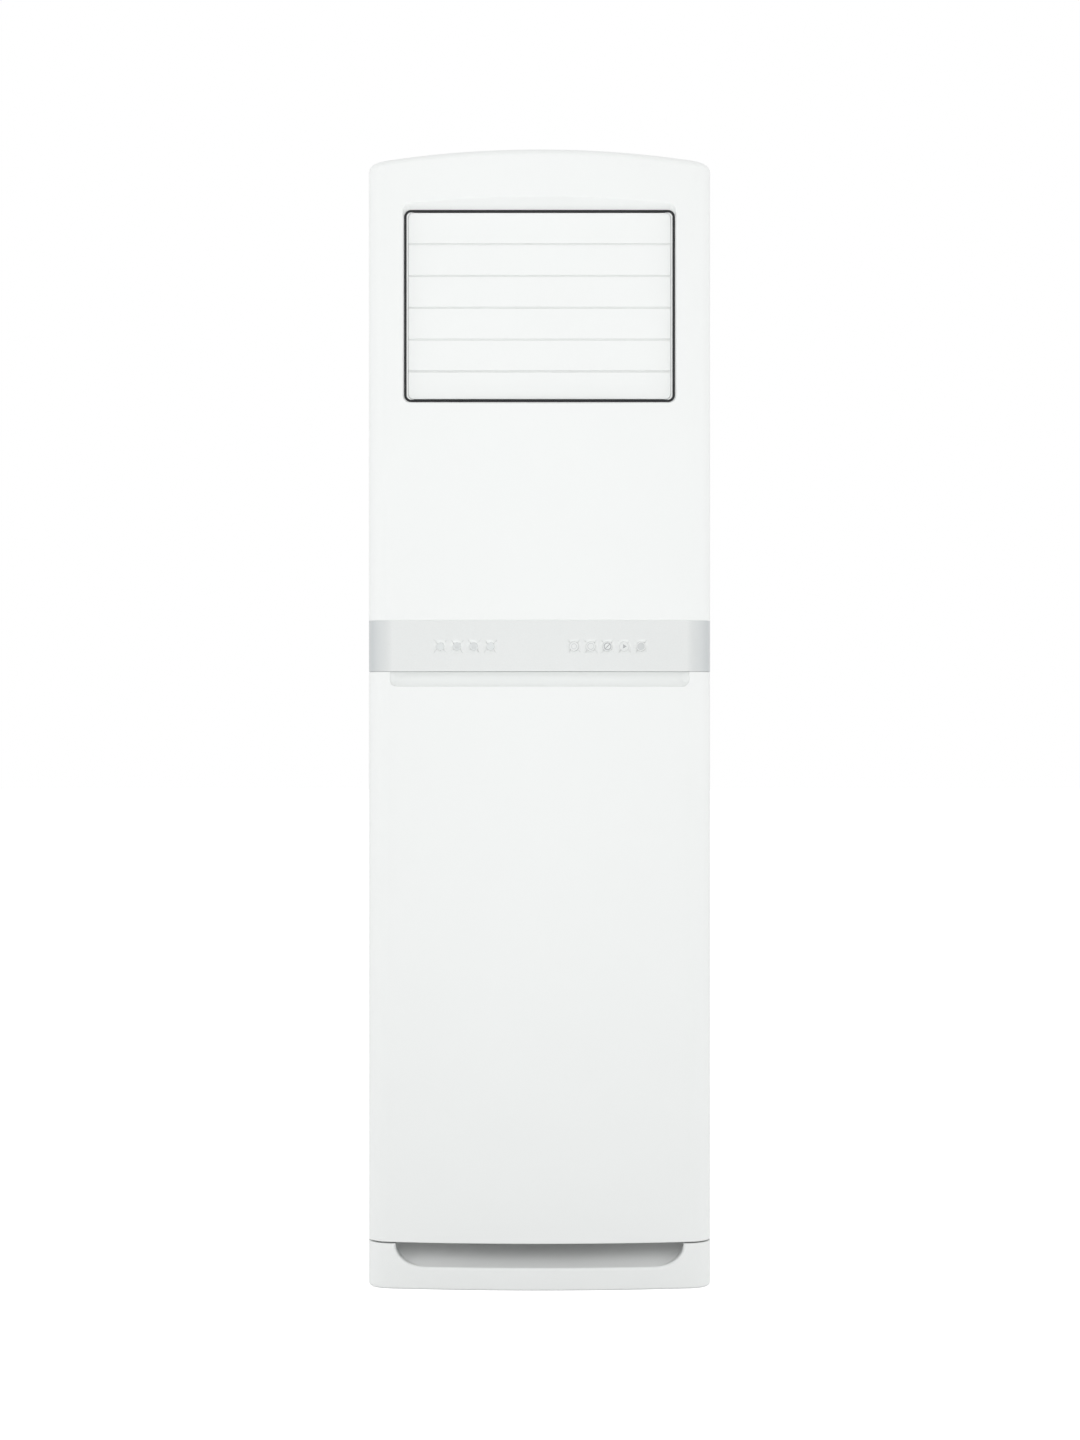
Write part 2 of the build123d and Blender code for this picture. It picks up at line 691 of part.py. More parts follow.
flange_sheet = 2.0
louver_motor_number = 2
vane_motor_number = 3
motor_ear_spacing = 31.0
motor_boss_height = 2.0
motor_boss_radius = 3.0
motor_offset = 8.0
tunnel_mid_z = (tunnel_z0 + tunnel_z1) / 2
tunnel_height = tunnel_z1 - tunnel_z0
with BuildPart() as louver_frame:
    with BuildSketch(front_view(tunnel_end_y)):
        with Locations((0, tunnel_mid_z)):
            Rectangle(2 * (tunnel_half + frame_wall), tunnel_height + 2 * frame_wall)
    extrude(amount=tunnel_depth)
    with BuildSketch(front_view(trim_back_y + flange_sheet)):
        with Locations((0, tunnel_mid_z)):
            Rectangle(
                2 * (tunnel_half + frame_wall + frame_flange),
                tunnel_height + 2 * (frame_wall + frame_flange),
            )
    extrude(amount=flange_sheet)
    with BuildSketch(front_view(trim_back_y)):
        with Locations((0, tunnel_mid_z)):
            Rectangle(opening_width - 0.3, tunnel_height - 30)
    extrude(amount=trim_depth - 1.0)
    with BuildSketch(side_view(-tunnel_half - frame_wall - motor_boss_height)):
        with Locations((louver_pivot_y + motor_offset, louver_pivot_z(louver_motor_number))):
            with GridLocations(1, motor_ear_spacing, 1, 2):
                Circle(motor_boss_radius)
    extrude(amount=motor_boss_height)
    with BuildSketch(Plane.XY.offset(tunnel_z1 + frame_wall)):
        with Locations((vane_x(vane_motor_number), vane_pivot_y - motor_offset)):
            with GridLocations(motor_ear_spacing, 1, 2, 1):
                Circle(motor_boss_radius)
    extrude(amount=motor_boss_height)
    with BuildSketch(front_view(tunnel_end_y + 1)):
        with Locations((0, tunnel_mid_z)):
            Rectangle(2 * tunnel_half, tunnel_height)
    extrude(amount=tunnel_depth + trim_depth + 2, mode=Mode.SUBTRACT)
    with BuildSketch(side_view(-case_width / 2)):
        for number in range(louver_count):
            with Locations((louver_pivot_y, louver_pivot_z(number))):
                Circle(pivot_radius + pivot_clearance)
    extrude(amount=case_width, mode=Mode.SUBTRACT)
    with BuildSketch(Plane.XY.offset(tunnel_z0 - 20)):
        for number in range(vane_count):
            with Locations((vane_x(number), vane_pivot_y)):
                Circle(pivot_radius + pivot_clearance)
    extrude(amount=tunnel_height + 40, mode=Mode.SUBTRACT)
save(louver_frame.part, "louver_frame")

# ---------------------------------------------------------------- louvers and their link bar
crank_gap = 0.5
cheek_outer = tunnel_half + frame_wall
crank_x = cheek_outer + crank_gap
link_x = crank_x + arm_thickness + crank_gap
crank_y = louver_pivot_y + crank_radius * cos(radians(crank_rest_angle))
crank_rise = crank_radius * sin(radians(crank_rest_angle))
lug_depth = 5.0
lug_width = 4.0
lip_y = louver_front_y + (louver_thickness + louver_lap_gap) / 2
groove_y = lip_y - louver_lap_gap
for number in range(louver_count):
    pivot_z = louver_pivot_z(number)
    top_z = louver_top(number) - louver_gap / 2
    bottom_z = max(louver_top(number + 1), opening_z0) + louver_gap / 2
    with BuildPart() as louver:
        with BuildSketch(side_view(-louver_half)) as blade:
            with Locations((louver_front_y, bottom_z)):
                Rectangle(louver_thickness, top_z - bottom_z, align=(Align.MIN, Align.MIN))
            fillet(blade.vertices().group_by(Axis.X)[0], louver_thickness / 6)
            if number < louver_count - 1:
                with Locations((groove_y, bottom_z)):
                    rebate = louver_lap + louver_lap_gap
                    Rectangle(
                        louver_thickness, 2 * rebate, align=(Align.MIN, Align.CENTER), mode=Mode.SUBTRACT
                    )
            if number > 0:
                with Locations((lip_y, top_z - 1)):
                    lip_width = louver_front_y + louver_thickness - lip_y
                    Rectangle(lip_width, louver_gap + louver_lap + 1, align=(Align.MIN, Align.MIN))
        extrude(amount=2 * louver_half)
        with BuildSketch(front_view(louver_front_y + louver_thickness)):
            with Locations((0, outlet_mid_z)):
                RectangleRounded(
                    2 * louver_half, opening_z1 - opening_z0 - louver_gap, trim_corner_radius - tunnel_inset
                )
        extrude(amount=louver_thickness, mode=Mode.INTERSECT)
        for side in (-1, 1):
            lug_x = side * (louver_half - lug_width / 2) - lug_width / 2
            with BuildSketch(side_view(lug_x)):
                with Locations((louver_pivot_y, pivot_z)):
                    Circle(lug_depth)
                    Rectangle(lug_depth + 1, 2 * lug_depth, align=(Align.MAX, Align.CENTER))
            extrude(amount=lug_width)
        with BuildSketch(side_view(-cheek_outer - 1)):
            with Locations((louver_pivot_y, pivot_z)):
                Circle(pivot_radius)
        extrude(amount=cheek_outer + 1 - louver_half)
        with BuildSketch(side_view(louver_half)):
            with Locations((louver_pivot_y, pivot_z)):
                Circle(pivot_radius)
        extrude(amount=crank_x - louver_half)
        with BuildSketch(side_view(crank_x)):
            with BuildLine():
                Line((louver_pivot_y, pivot_z), (crank_y, pivot_z + crank_rise))
            trace(line_width=link_width)
            with Locations((louver_pivot_y, pivot_z), (crank_y, pivot_z + crank_rise)):
                Circle(link_width / 2)
        extrude(amount=arm_thickness)
        with BuildSketch(side_view(crank_x + arm_thickness)):
            with Locations((crank_y, pivot_z + crank_rise)):
                Circle(crank_pin_radius)
        extrude(amount=crank_gap + link_thickness + 1)
    save(louver.part, f"louver_{number + 1}")

with BuildPart() as louver_link:
    with BuildSketch(side_view(link_x)):
        with BuildLine():
            Line(
                (crank_y, louver_pivot_z(0) + crank_rise),
                (crank_y, louver_pivot_z(louver_count - 1) + crank_rise),
            )
        trace(line_width=link_width)
        for number in (0, louver_count - 1):
            with Locations((crank_y, louver_pivot_z(number) + crank_rise)):
                Circle(link_width / 2)
        for number in range(louver_count):
            with Locations((crank_y, louver_pivot_z(number) + crank_rise)):
                Circle(crank_pin_radius + link_clearance, mode=Mode.SUBTRACT)
    extrude(amount=link_thickness)
save(louver_link.part, "louver_link")

# ---------------------------------------------------------------- upright vanes and their link bar
vane_z0 = tunnel_z0 + 0.6
vane_z1 = tunnel_z1 - 0.6
vane_crank_z = tunnel_z0 - frame_wall - crank_gap
vane_link_z = vane_crank_z - arm_thickness - crank_gap
for number in range(vane_count):
    centre = (vane_x(number), vane_pivot_y)
    pin_end = (vane_x(number), vane_pivot_y + crank_radius)
    with BuildPart() as vane:
        with BuildSketch(Plane.XY.offset(vane_z0)) as section:
            with Locations(centre):
                Rectangle(vane_thickness, vane_chord)
            fillet(section.vertices(), 1.0)
            with Locations(centre):
                Circle(pivot_radius)
        extrude(amount=vane_z1 - vane_z0)
        with BuildSketch(Plane.XY.offset(vane_crank_z)):
            with Locations(centre):
                Circle(pivot_radius)
        extrude(amount=tunnel_z1 + frame_wall + 0.5 - vane_crank_z)
        with BuildSketch(Plane.XY.offset(vane_crank_z - arm_thickness)):
            with BuildLine():
                Line(centre, pin_end)
            trace(line_width=link_width)
            with Locations(centre, pin_end):
                Circle(link_width / 2)
        extrude(amount=arm_thickness)
        with BuildSketch(Plane.XY.offset(vane_link_z - link_thickness - 1)):
            with Locations(pin_end):
                Circle(crank_pin_radius)
        extrude(amount=crank_gap + link_thickness + 1)
    save(vane.part, f"vane_{number + 1}")

with BuildPart() as vane_link:
    with BuildSketch(Plane.XY.offset(vane_link_z - link_thickness)):
        with BuildLine():
            Line(
                (vane_x(0), vane_pivot_y + crank_radius),
                (vane_x(vane_count - 1), vane_pivot_y + crank_radius),
            )
        trace(line_width=link_width)
        for number in (0, vane_count - 1):
            with Locations((vane_x(number), vane_pivot_y + crank_radius)):
                Circle(link_width / 2)
        for number in range(vane_count):
            with Locations((vane_x(number), vane_pivot_y + crank_radius)):
                Circle(crank_pin_radius + link_clearance, mode=Mode.SUBTRACT)
    extrude(amount=link_thickness)
save(vane_link.part, "vane_link")

# ---------------------------------------------------------------- outlet stepper motors
stepper_radius = 12.0
stepper_length = 18.0
stepper_reach = motor_boss_height - 1.2


def stepper(shaft_plane, offset, along_x):
    """Small geared stepper on its ear plate: the plane holds the shaft and faces away from it."""
    ear_length = motor_ear_spacing + 2 * motor_boss_radius
    ear_width = 2 * motor_boss_radius
    with BuildPart() as motor:
        with BuildSketch(shaft_plane):
            with Locations(offset):
                Rectangle(ear_length if along_x else ear_width, ear_width if along_x else ear_length)
        extrude(amount=1.0)
        with BuildSketch(shaft_plane):
            with Locations(offset):
                Circle(stepper_radius)
        extrude(amount=stepper_length)
        with BuildSketch(shaft_plane):
            Circle(2.0)
        extrude(amount=-stepper_reach)
    return motor.part


louver_motor_plane = Plane(
    origin=(-cheek_outer - motor_boss_height, louver_pivot_y, louver_pivot_z(louver_motor_number)),
    x_dir=(0, -1, 0),
    z_dir=(-1, 0, 0),
)
save(stepper(louver_motor_plane, (-motor_offset, 0), along_x=False), "louver_motor")
vane_motor_plane = Plane(
    origin=(vane_x(vane_motor_number), vane_pivot_y, tunnel_z1 + frame_wall + motor_boss_height)
)
save(stepper(vane_motor_plane, (0, -motor_offset), along_x=True), "vane_motor")

# ---------------------------------------------------------------- evaporator coil
deck_top = deck_height + sheet
pan_wall = 2.0
pan_height = 26.0
pan_half = coil_width / 2 + 13.0
pan_y1 = 2.0
pipe_x = coil_width / 2 + 23.0
coil_lean = radians(coil_tilt)
coil_y = frame_plate_y1 + 8.6
coil_z = deck_top + pan_wall + coil_thickness * sin(coil_lean) + 0.2
coil_plane = Plane(origin=(0, coil_y, coil_z), x_dir=(1, 0, 0), z_dir=(0, -cos(coil_lean), sin(coil_lean)))
tube_layer = coil_plane.offset(-coil_thickness / 2 - 1)
first_tube = 35.0
tube_end = coil_width / 2 + 9.0
turn_x = coil_width / 2 + 1.0
groove_count = 40
groove_depth = 5.0
groove_pitch = (coil_width - 2 * groove_depth) / groove_count


def tube_row(number):
    """Height of a tube along the coil, counted from 0 at its foot."""
    return first_tube + number * tube_pitch


with BuildPart(coil_plane) as coil_fins:
    Box(coil_width, coil_length, coil_thickness, align=(Align.CENTER, Align.MIN, Align.MAX))
    with Locations((0, coil_length / 2, 0)):
        with GridLocations(groove_pitch, 1, groove_count, 1):
            Box(
                groove_pitch / 2,
                coil_length + 2,
                groove_depth,
                align=(Align.CENTER, Align.CENTER, Align.MAX),
                mode=Mode.SUBTRACT,
            )
    for number in range(tube_count):
        with Locations((0, tube_row(number), -coil_thickness / 2 - 1)):
            Cylinder(tube_radius + 0.1, coil_width + 2, rotation=(0, 90, 0), mode=Mode.SUBTRACT)
save(coil_fins.part, "coil_fins")

with BuildPart() as coil_tubes:
    with BuildLine(tube_layer) as serpentine:
        for number in range(tube_count):
            side = 1 if number % 2 == 0 else -1
            start_x = side * (tube_end if number == 0 else turn_x)
            end_x = -side * (tube_end if number == tube_count - 1 else turn_x)
            Line((start_x, tube_row(number)), (end_x, tube_row(number)))
            if number < tube_count - 1:
                bend_centre = (end_x, tube_row(number) + tube_pitch / 2)
                CenterArc(bend_centre, tube_pitch / 2, -90, -180 * side)
    with BuildSketch(Plane(origin=serpentine.line @ 0, z_dir=serpentine.line % 0)):
        Circle(tube_radius)
    sweep(path=serpentine.line)
save(coil_tubes.part, "coil_tubes")

# ---------------------------------------------------------------- outlet duct: foam hood over the coil
duct_gap = 2.0
duct_back = back_panel_y0 - duct_gap
duct_z0 = coil_z + coil_length * cos(coil_lean) + duct_gap
duct_turn = 102.0
duct_front_wall = frame_plate_y1 + 1.6
turn_z = tunnel_z1 + duct_wall - duct_turn
with BuildPart() as outlet_duct:
    for grow, half in ((duct_wall, duct_half), (0.0, tunnel_half)):
        inset = duct_wall - grow
        ceiling = tunnel_z1 + grow
        with BuildSketch(side_view(-half)):
            with BuildLine():
                Line((tunnel_end_y - inset, ceiling), (duct_back - duct_turn, ceiling))
                CenterArc((duct_back - duct_turn, turn_z), duct_turn - inset, 0, 90)
                Polyline(
                    (duct_back - inset, turn_z),
                    (duct_back - inset, duct_z0 - inset),
                    (duct_front_wall + inset, duct_z0 - inset),
                    (duct_front_wall + inset, tunnel_z0 - grow),
                    (tunnel_end_y - inset, tunnel_z0 - grow),
                    (tunnel_end_y - inset, ceiling),
                )
            make_face()
        extrude(amount=2 * half, mode=Mode.ADD if grow else Mode.SUBTRACT)
save(outlet_duct.part, "outlet_duct")

# ---------------------------------------------------------------- refrigerant pipes and their unions
union_top = 300.0
gas_radius = 7.94
liquid_radius = 4.76
gas_nut = 14.5
liquid_nut = 11.0
gas_thread = 11.1
liquid_thread = 7.9
nut_height = 18.0
thread_length = 16.0


def pipe_run(start, radius, bend, name):
    """Pipe from a coil tube's end out to the side and down to its union."""
    with BuildPart() as pipe:
        with BuildLine() as route:
            FilletPolyline(start, (pipe_x, start.Y, start.Z), (pipe_x, start.Y, union_top), radius=bend)
        with BuildSketch(Plane(origin=route.line @ 0, z_dir=route.line % 0)):
            Circle(radius)
        sweep(path=route.line)
    save(pipe.part, name)


liquid_start = tube_layer.from_local_coords(Vector(tube_end, tube_row(0), 0))
gas_start = tube_layer.from_local_coords(Vector(tube_end, tube_row(tube_count - 1), 0))
pipe_run(gas_start, gas_radius, 13.0, "gas_pipe")
pipe_run(liquid_start, liquid_radius, 10.0, "liquid_pipe")
with BuildPart() as pipe_unions:
    for start, nut, thread in ((gas_start, gas_nut, gas_thread), (liquid_start, liquid_nut, liquid_thread)):
        with BuildSketch(Plane(origin=(pipe_x, start.Y, union_top), z_dir=(0, 0, -1))):
            RegularPolygon(nut, 6, major_radius=False)
        extrude(amount=nut_height)
        with BuildSketch(Plane(origin=(pipe_x, start.Y, union_top - nut_height), z_dir=(0, 0, -1))):
            Circle(thread)
        extrude(amount=thread_length)
        mouth_z = union_top - nut_height - thread_length
        with BuildSketch(Plane(origin=(pipe_x, start.Y, mouth_z), z_dir=(0, 0, -1))):
            Circle(thread * 0.6)
        extrude(amount=-nut_height - thread_length + 4, mode=Mode.SUBTRACT)
save(pipe_unions.part, "pipe_unions")

# ---------------------------------------------------------------- volute, inlet plate and fan deck
tongue_angle = 60.0
volute_first = wheel_radius + tongue_gap - volute_step / 5
volute_shift = volute_step / 2
tongue_x = -volute_shift + volute_first * cos(radians(tongue_angle))
volute_right = volute_shift + volute_first + 3 * volute_step
volute_y1 = volute_front + volute_width
neck_top = deck_height - fan_height


def fan_view(y):
    """Plane through the fan's axis that looks at the front."""
    return Plane(origin=(fan_offset_x, y, fan_height), x_dir=(1, 0, 0), z_dir=(0, -1, 0))


def volute_outline(y, grow=0.0):
    """Four quarter arcs about the corners of a small square, and a straight neck up to the deck."""
    start = degrees(acos((tongue_x - grow + volute_shift) / (volute_first + grow)))
    with BuildSketch(fan_view(y)) as outline:
        with BuildLine():
            CenterArc((-volute_shift, volute_shift), volute_first + grow, start, 90 - start)
            CenterArc((-volute_shift, -volute_shift), volute_first + volute_step + grow, 90, 90)
            CenterArc((volute_shift, -volute_shift), volute_first + 2 * volute_step + grow, 180, 90)
            CenterArc((volute_shift, volute_shift), volute_first + 3 * volute_step + grow, 270, 90)
            Polyline(
                (volute_right + grow, volute_shift),
                (volute_right + grow, neck_top),
                (tongue_x - grow, neck_top),
                (tongue_x - grow, volute_shift + (volute_first + grow) * sin(radians(start))),
            )
        make_face()
    return outline.sketch


neck_mid_x = (tongue_x + volute_right) / 2
neck_width = volute_right - tongue_x
motor_hole = motor_radius + 35.0
neck_flange = 10.0
with BuildPart() as volute:
    extrude(volute_outline(volute_y1, volute_wall), amount=volute_width)
    with BuildSketch(Plane.XY.offset(deck_height - bead)):
        with Locations((fan_offset_x + neck_mid_x, volute_front)):
            flange_depth = volute_width + neck_flange
            Rectangle(neck_width + 2 * neck_flange, flange_depth, align=(Align.CENTER, Align.MIN))
    extrude(amount=bead)
    extrude(volute_outline(volute_y1 - volute_wall), amount=volute_width, mode=Mode.SUBTRACT)
    with BuildSketch(fan_view(volute_y1 + 1)):
        Circle(motor_hole)
    extrude(amount=volute_wall + 2, mode=Mode.SUBTRACT)
save(volute.part, "volute")

bell = 12.0
plate_rim = 5.0
inlet_plate_y0 = volute_front - bead
with BuildPart() as inlet_plate:
    extrude(volute_outline(volute_front, volute_wall + plate_rim), amount=bead)
    with BuildSketch(fan_view(volute_front + 1)):
        Circle(inlet_radius + bell - 1)
    extrude(amount=4, mode=Mode.SUBTRACT)
    with BuildSketch(Plane(origin=(fan_offset_x, 0, fan_height), z_dir=(0, 0, 1))):
        with BuildLine():
            bell_centre = (inlet_radius + bell, inlet_plate_y0 + bell)
            CenterArc(bell_centre, bell, 180, 90)
            CenterArc(bell_centre, bell - bead, 180, 90)
            Line((inlet_radius, inlet_plate_y0 + bell), (inlet_radius + bead, inlet_plate_y0 + bell))
            Line((inlet_radius + bell, inlet_plate_y0), (inlet_radius + bell, inlet_plate_y0 + bead))
        make_face()
    revolve(axis=Axis((fan_offset_x, 0, fan_height), (0, 1, 0)))
save(inlet_plate.part, "inlet_plate")

spout_x = -pan_half + 18.0
spout_y = frame_plate_y1 + 20.0
spout_radius = 8.0
spout_length = 18.0
hose_foot_z = 160.0
hose_wall = 2.5
pipe_room = 1.5
with BuildPart() as fan_deck:
    with BuildSketch(Plane.XY.offset(deck_height)):
        with Locations((0, frame_plate_y1)):
            deck_depth = back_panel_y0 - sheet - frame_plate_y1
            Rectangle(case_width - 2 * sheet, deck_depth, align=(Align.CENTER, Align.MIN))
        with Locations((fan_offset_x + neck_mid_x, volute_front)):
            Rectangle(
                neck_width, volute_width - volute_wall, align=(Align.CENTER, Align.MIN), mode=Mode.SUBTRACT
            )
        with Locations((spout_x, spout_y)):
            Circle(spout_radius + 1, mode=Mode.SUBTRACT)
        with Locations((pipe_x, gas_start.Y)):
            Circle(gas_radius + pipe_room, mode=Mode.SUBTRACT)
        with Locations((pipe_x, liquid_start.Y)):
            Circle(liquid_radius + pipe_room, mode=Mode.SUBTRACT)
    extrude(amount=sheet)
save(fan_deck.part, "fan_deck")

with BuildPart() as drain_pan:
    with Locations((0, frame_plate_y1, deck_top)):
        Box(2 * pan_half, pan_y1 - frame_plate_y1, pan_height, align=(Align.CENTER, Align.MIN, Align.MIN))
    with Locations((0, frame_plate_y1 + pan_wall, deck_top + pan_wall)):
        Box(
            2 * (pan_half - pan_wall),
            pan_y1 - frame_plate_y1 - 2 * pan_wall,
            pan_height,
            align=(Align.CENTER, Align.MIN, Align.MIN),
            mode=Mode.SUBTRACT,
        )
    with BuildSketch(Plane.XY.offset(deck_height - spout_length)):
        with Locations((spout_x, spout_y)):
            Circle(spout_radius)
    extrude(amount=spout_length + sheet + pan_wall / 2)
    with BuildSketch(Plane.XY.offset(deck_height - spout_length - 1)):
        with Locations((spout_x, spout_y)):
            Circle(spout_radius - pan_wall)
    extrude(amount=spout_length + sheet + pan_wall + 2, mode=Mode.SUBTRACT)
save(drain_pan.part, "drain_pan")

with BuildPart() as drain_hose:
    with BuildSketch(Plane.XY.offset(hose_foot_z)):
        with Locations((spout_x, spout_y)):
            Circle(spout_radius + hose_wall)
            Circle(spout_radius + 0.1, mode=Mode.SUBTRACT)
    extrude(amount=deck_height - bead - hose_foot_z)
save(drain_hose.part, "drain_hose")

# ---------------------------------------------------------------- blower wheel, shaft and motor
wheel_y0 = volute_front + 4.0
wheel_y1 = wheel_y0 + wheel_width
hub_radius = 15.0
blade_inner = wheel_radius - blade_chord
motor_y0 = wheel_y1 - 44.0      # the motor reaches into the wheel's cone
cone_y = wheel_y1 - 56.0
cone_wall = 2.0
cone_foot = 45.0                # radius at the small end of the cone
cone_head = 100.0               # radius at the large end
hub_length = 20.0
rim_width = 9.0
rim_height = 6.0
blade_sheet = 1.2
blade_sweep = radians(9)
with BuildPart() as fan_wheel:
    with BuildSketch(fan_view(wheel_y1 - 1)):
        with BuildSketch(Plane.XY, mode=Mode.PRIVATE) as blade:
            with BuildLine():
                ThreePointArc(
                    (blade_inner, 0),
                    (blade_inner + 0.55 * blade_chord, 1.5),
                    ((wheel_radius - 1) * cos(blade_sweep), (wheel_radius - 1) * sin(blade_sweep)),
                )
            trace(line_width=blade_sheet)
        with PolarLocations(0, blade_count):
            add(blade.sketch)
    extrude(amount=wheel_width - 2)
    with BuildSketch(fan_view(wheel_y0 + rim_height)):
        Circle(wheel_radius)
        Circle(wheel_radius - rim_width, mode=Mode.SUBTRACT)
    extrude(amount=rim_height)
    with BuildSketch(Plane(origin=(fan_offset_x, 0, fan_height), z_dir=(0, 0, 1))):
        with BuildLine():
            Polyline(
                (wheel_radius, wheel_y1 - cone_wall),
                (cone_head, wheel_y1 - cone_wall),
                (cone_foot, cone_y),
                (hub_radius, cone_y),
                (hub_radius, cone_y - 0.6 * hub_length),
                (shaft_radius, cone_y - 0.6 * hub_length),
                (shaft_radius, cone_y + 0.4 * hub_length),
                (hub_radius, cone_y + 0.4 * hub_length),
                (hub_radius, cone_y + cone_wall),
                (cone_foot - 1, cone_y + cone_wall),
                (cone_head - 1, wheel_y1),
                (wheel_radius, wheel_y1),
                close=True,
            )
        make_face()
    revolve(axis=Axis((fan_offset_x, 0, fan_height), (0, 1, 0)))
save(fan_wheel.part, "fan_wheel")

motor_y1 = motor_y0 + motor_length
shaft_end = 16.0                # beyond the cone's foot
with BuildPart() as motor_shaft:
    with BuildSketch(fan_view(motor_y1)):
        Circle(shaft_radius)
    extrude(amount=motor_y1 - cone_y + shaft_end)
save(motor_shaft.part, "motor_shaft")

with BuildPart() as fan_motor:
    with BuildSketch(Plane(origin=(fan_offset_x, 0, fan_height), z_dir=(0, 0, 1))) as half_motor:
        with BuildLine():
            bore = shaft_radius + 0.06
            ear = motor_radius + 14
            ear_sheet = 3.0
            seat_y = volute_y1 + bead
            Polyline(
                (bore, motor_y0),
                (motor_radius, motor_y0),
                (motor_radius, seat_y),
                (ear, seat_y),
                (ear, seat_y + ear_sheet),
                (motor_radius, seat_y + ear_sheet),
                (motor_radius, motor_y1),
                (bore, motor_y1),
                close=True,
            )
        make_face()
        fillet(half_motor.vertices().group_by(Axis.Y)[0].sort_by(Axis.X)[-1], 6)
        fillet(half_motor.vertices().group_by(Axis.Y)[-1].sort_by(Axis.X)[-1], 4)
    revolve(axis=Axis((fan_offset_x, 0, fan_height), (0, 1, 0)))
save(fan_motor.part, "fan_motor")

vent_count = 6
vent_radius = 7.0
with BuildPart() as motor_bracket:
    with BuildSketch(fan_view(volute_y1 + bead)):
        Circle(motor_hole + neck_flange)
        Circle(motor_radius + running_gap, mode=Mode.SUBTRACT)
        with PolarLocations(motor_radius + 24, vent_count):
            Circle(vent_radius, mode=Mode.SUBTRACT)
    extrude(amount=bead)
save(motor_bracket.part, "motor_bracket")

# ---------------------------------------------------------------- air filter
filter_y1 = frame_plate_y0 - 0.5
filter_border = 12.0
rib = 3.0
window_columns = 3
window_rows = 5
net_sheet = 0.8
window_x = (filter_width - 2 * filter_border - (window_columns - 1) * rib) / window_columns
window_z = (filter_height - 2 * filter_border - (window_rows - 1) * rib) / window_rows
with BuildPart() as air_filter:
    with BuildSketch(front_view(filter_y1)):
        with Locations((0, filter_bottom + filter_height / 2)):
            Rectangle(filter_width, filter_height)
            with GridLocations(window_x + rib, window_z + rib, window_columns, window_rows):
                Rectangle(window_x, window_z, mode=Mode.SUBTRACT)
    extrude(amount=filter_thickness)
    with BuildSketch(front_view(filter_y1 - 1)):
        with Locations((0, filter_bottom + filter_height / 2)):
            Rectangle(filter_width - 4, filter_height - 4)
    extrude(amount=net_sheet)
save(air_filter.part, "air_filter")

# ---------------------------------------------------------------- electrical box, cover and terminals
box_z0 = deck_height + 10.0
box_height = 140.0
box_half = 150.0
box_depth = 52.0
box_y0 = frame_plate_y0 - box_depth
box_wall = 2.0
cover_lap = 2.0
cover_panel = 1.5
cover_border = 20.0
box_mid_z = box_z0 + box_height / 2
with BuildPart() as electrical_box:
    with BuildSketch(front_view(frame_plate_y0)):
        with Locations((0, box_mid_z)):
            Rectangle(2 * box_half, box_height)
    extrude(amount=frame_plate_y0 - box_y0)
    with BuildSketch(front_view(frame_plate_y0 - box_wall)):
        with Locations((0, box_mid_z)):
            Rectangle(2 * (box_half - box_wall), box_height - 2 * box_wall)
    extrude(amount=box_depth, mode=Mode.SUBTRACT)
save(electrical_box.part, "electrical_box")

with BuildPart() as electrical_cover:
    with BuildSketch(front_view(box_y0)) as cover_outline:
        with Locations((0, box_mid_z)):
            Rectangle(2 * (box_half + cover_lap), box_height + 2 * cover_lap)
        fillet(cover_outline.vertices(), 2 * cover_lap)
    extrude(amount=box_wall)
    with BuildSketch(front_view(box_y0 - box_wall)):
        with Locations((0, box_mid_z)):
            Rectangle(2 * (box_half - cover_border), box_height - 2 * cover_border)
    extrude(amount=cover_panel)
save(electrical_cover.part, "electrical_cover")

terminal_x = box_half + 32.0
terminal_width = 34.0
terminal_height = 90.0
terminal_depth = 12.0
barrier_count = 6
barrier_pitch = 17.0
barrier_rise = 7.0
with BuildPart() as terminal_block:
    with BuildSketch(front_view(frame_plate_y0)):
        with Locations((terminal_x, box_mid_z)):
            Rectangle(terminal_width, terminal_height)
    extrude(amount=terminal_depth)
    with BuildSketch(front_view(frame_plate_y0 - terminal_depth)):
        with Locations((terminal_x, box_mid_z)):
            with GridLocations(1, barrier_pitch, 1, barrier_count):
                Rectangle(terminal_width, bead)
    extrude(amount=barrier_rise)
save(terminal_block.part, "terminal_block")

# ---------------------------------------------------------------- pipe grommet and case screws
grommet_lip = 8.0
with BuildPart() as pipe_grommet:
    with BuildSketch(front_view(back_panel_y1 + 1.5)):
        with Locations((grommet_x, grommet_z)):
            Circle(grommet_bore + grommet_lip)
    extrude(amount=1.5)
    with BuildSketch(front_view(back_panel_y0)):
        with Locations((grommet_x, grommet_z)):
            Circle(grommet_bore + grommet_lip)
    extrude(amount=2.5)
    with BuildSketch(front_view(back_panel_y1)):
        with Locations((grommet_x, grommet_z)):
            Circle(grommet_bore + wall - 0.1)
    extrude(amount=sheet + grommet_lip)
    with BuildSketch(front_view(back_y + 1)):
        with Locations((grommet_x, grommet_z)):
            Circle(grommet_bore)
    extrude(amount=30, mode=Mode.SUBTRACT)
save(pipe_grommet.part, "pipe_grommet")

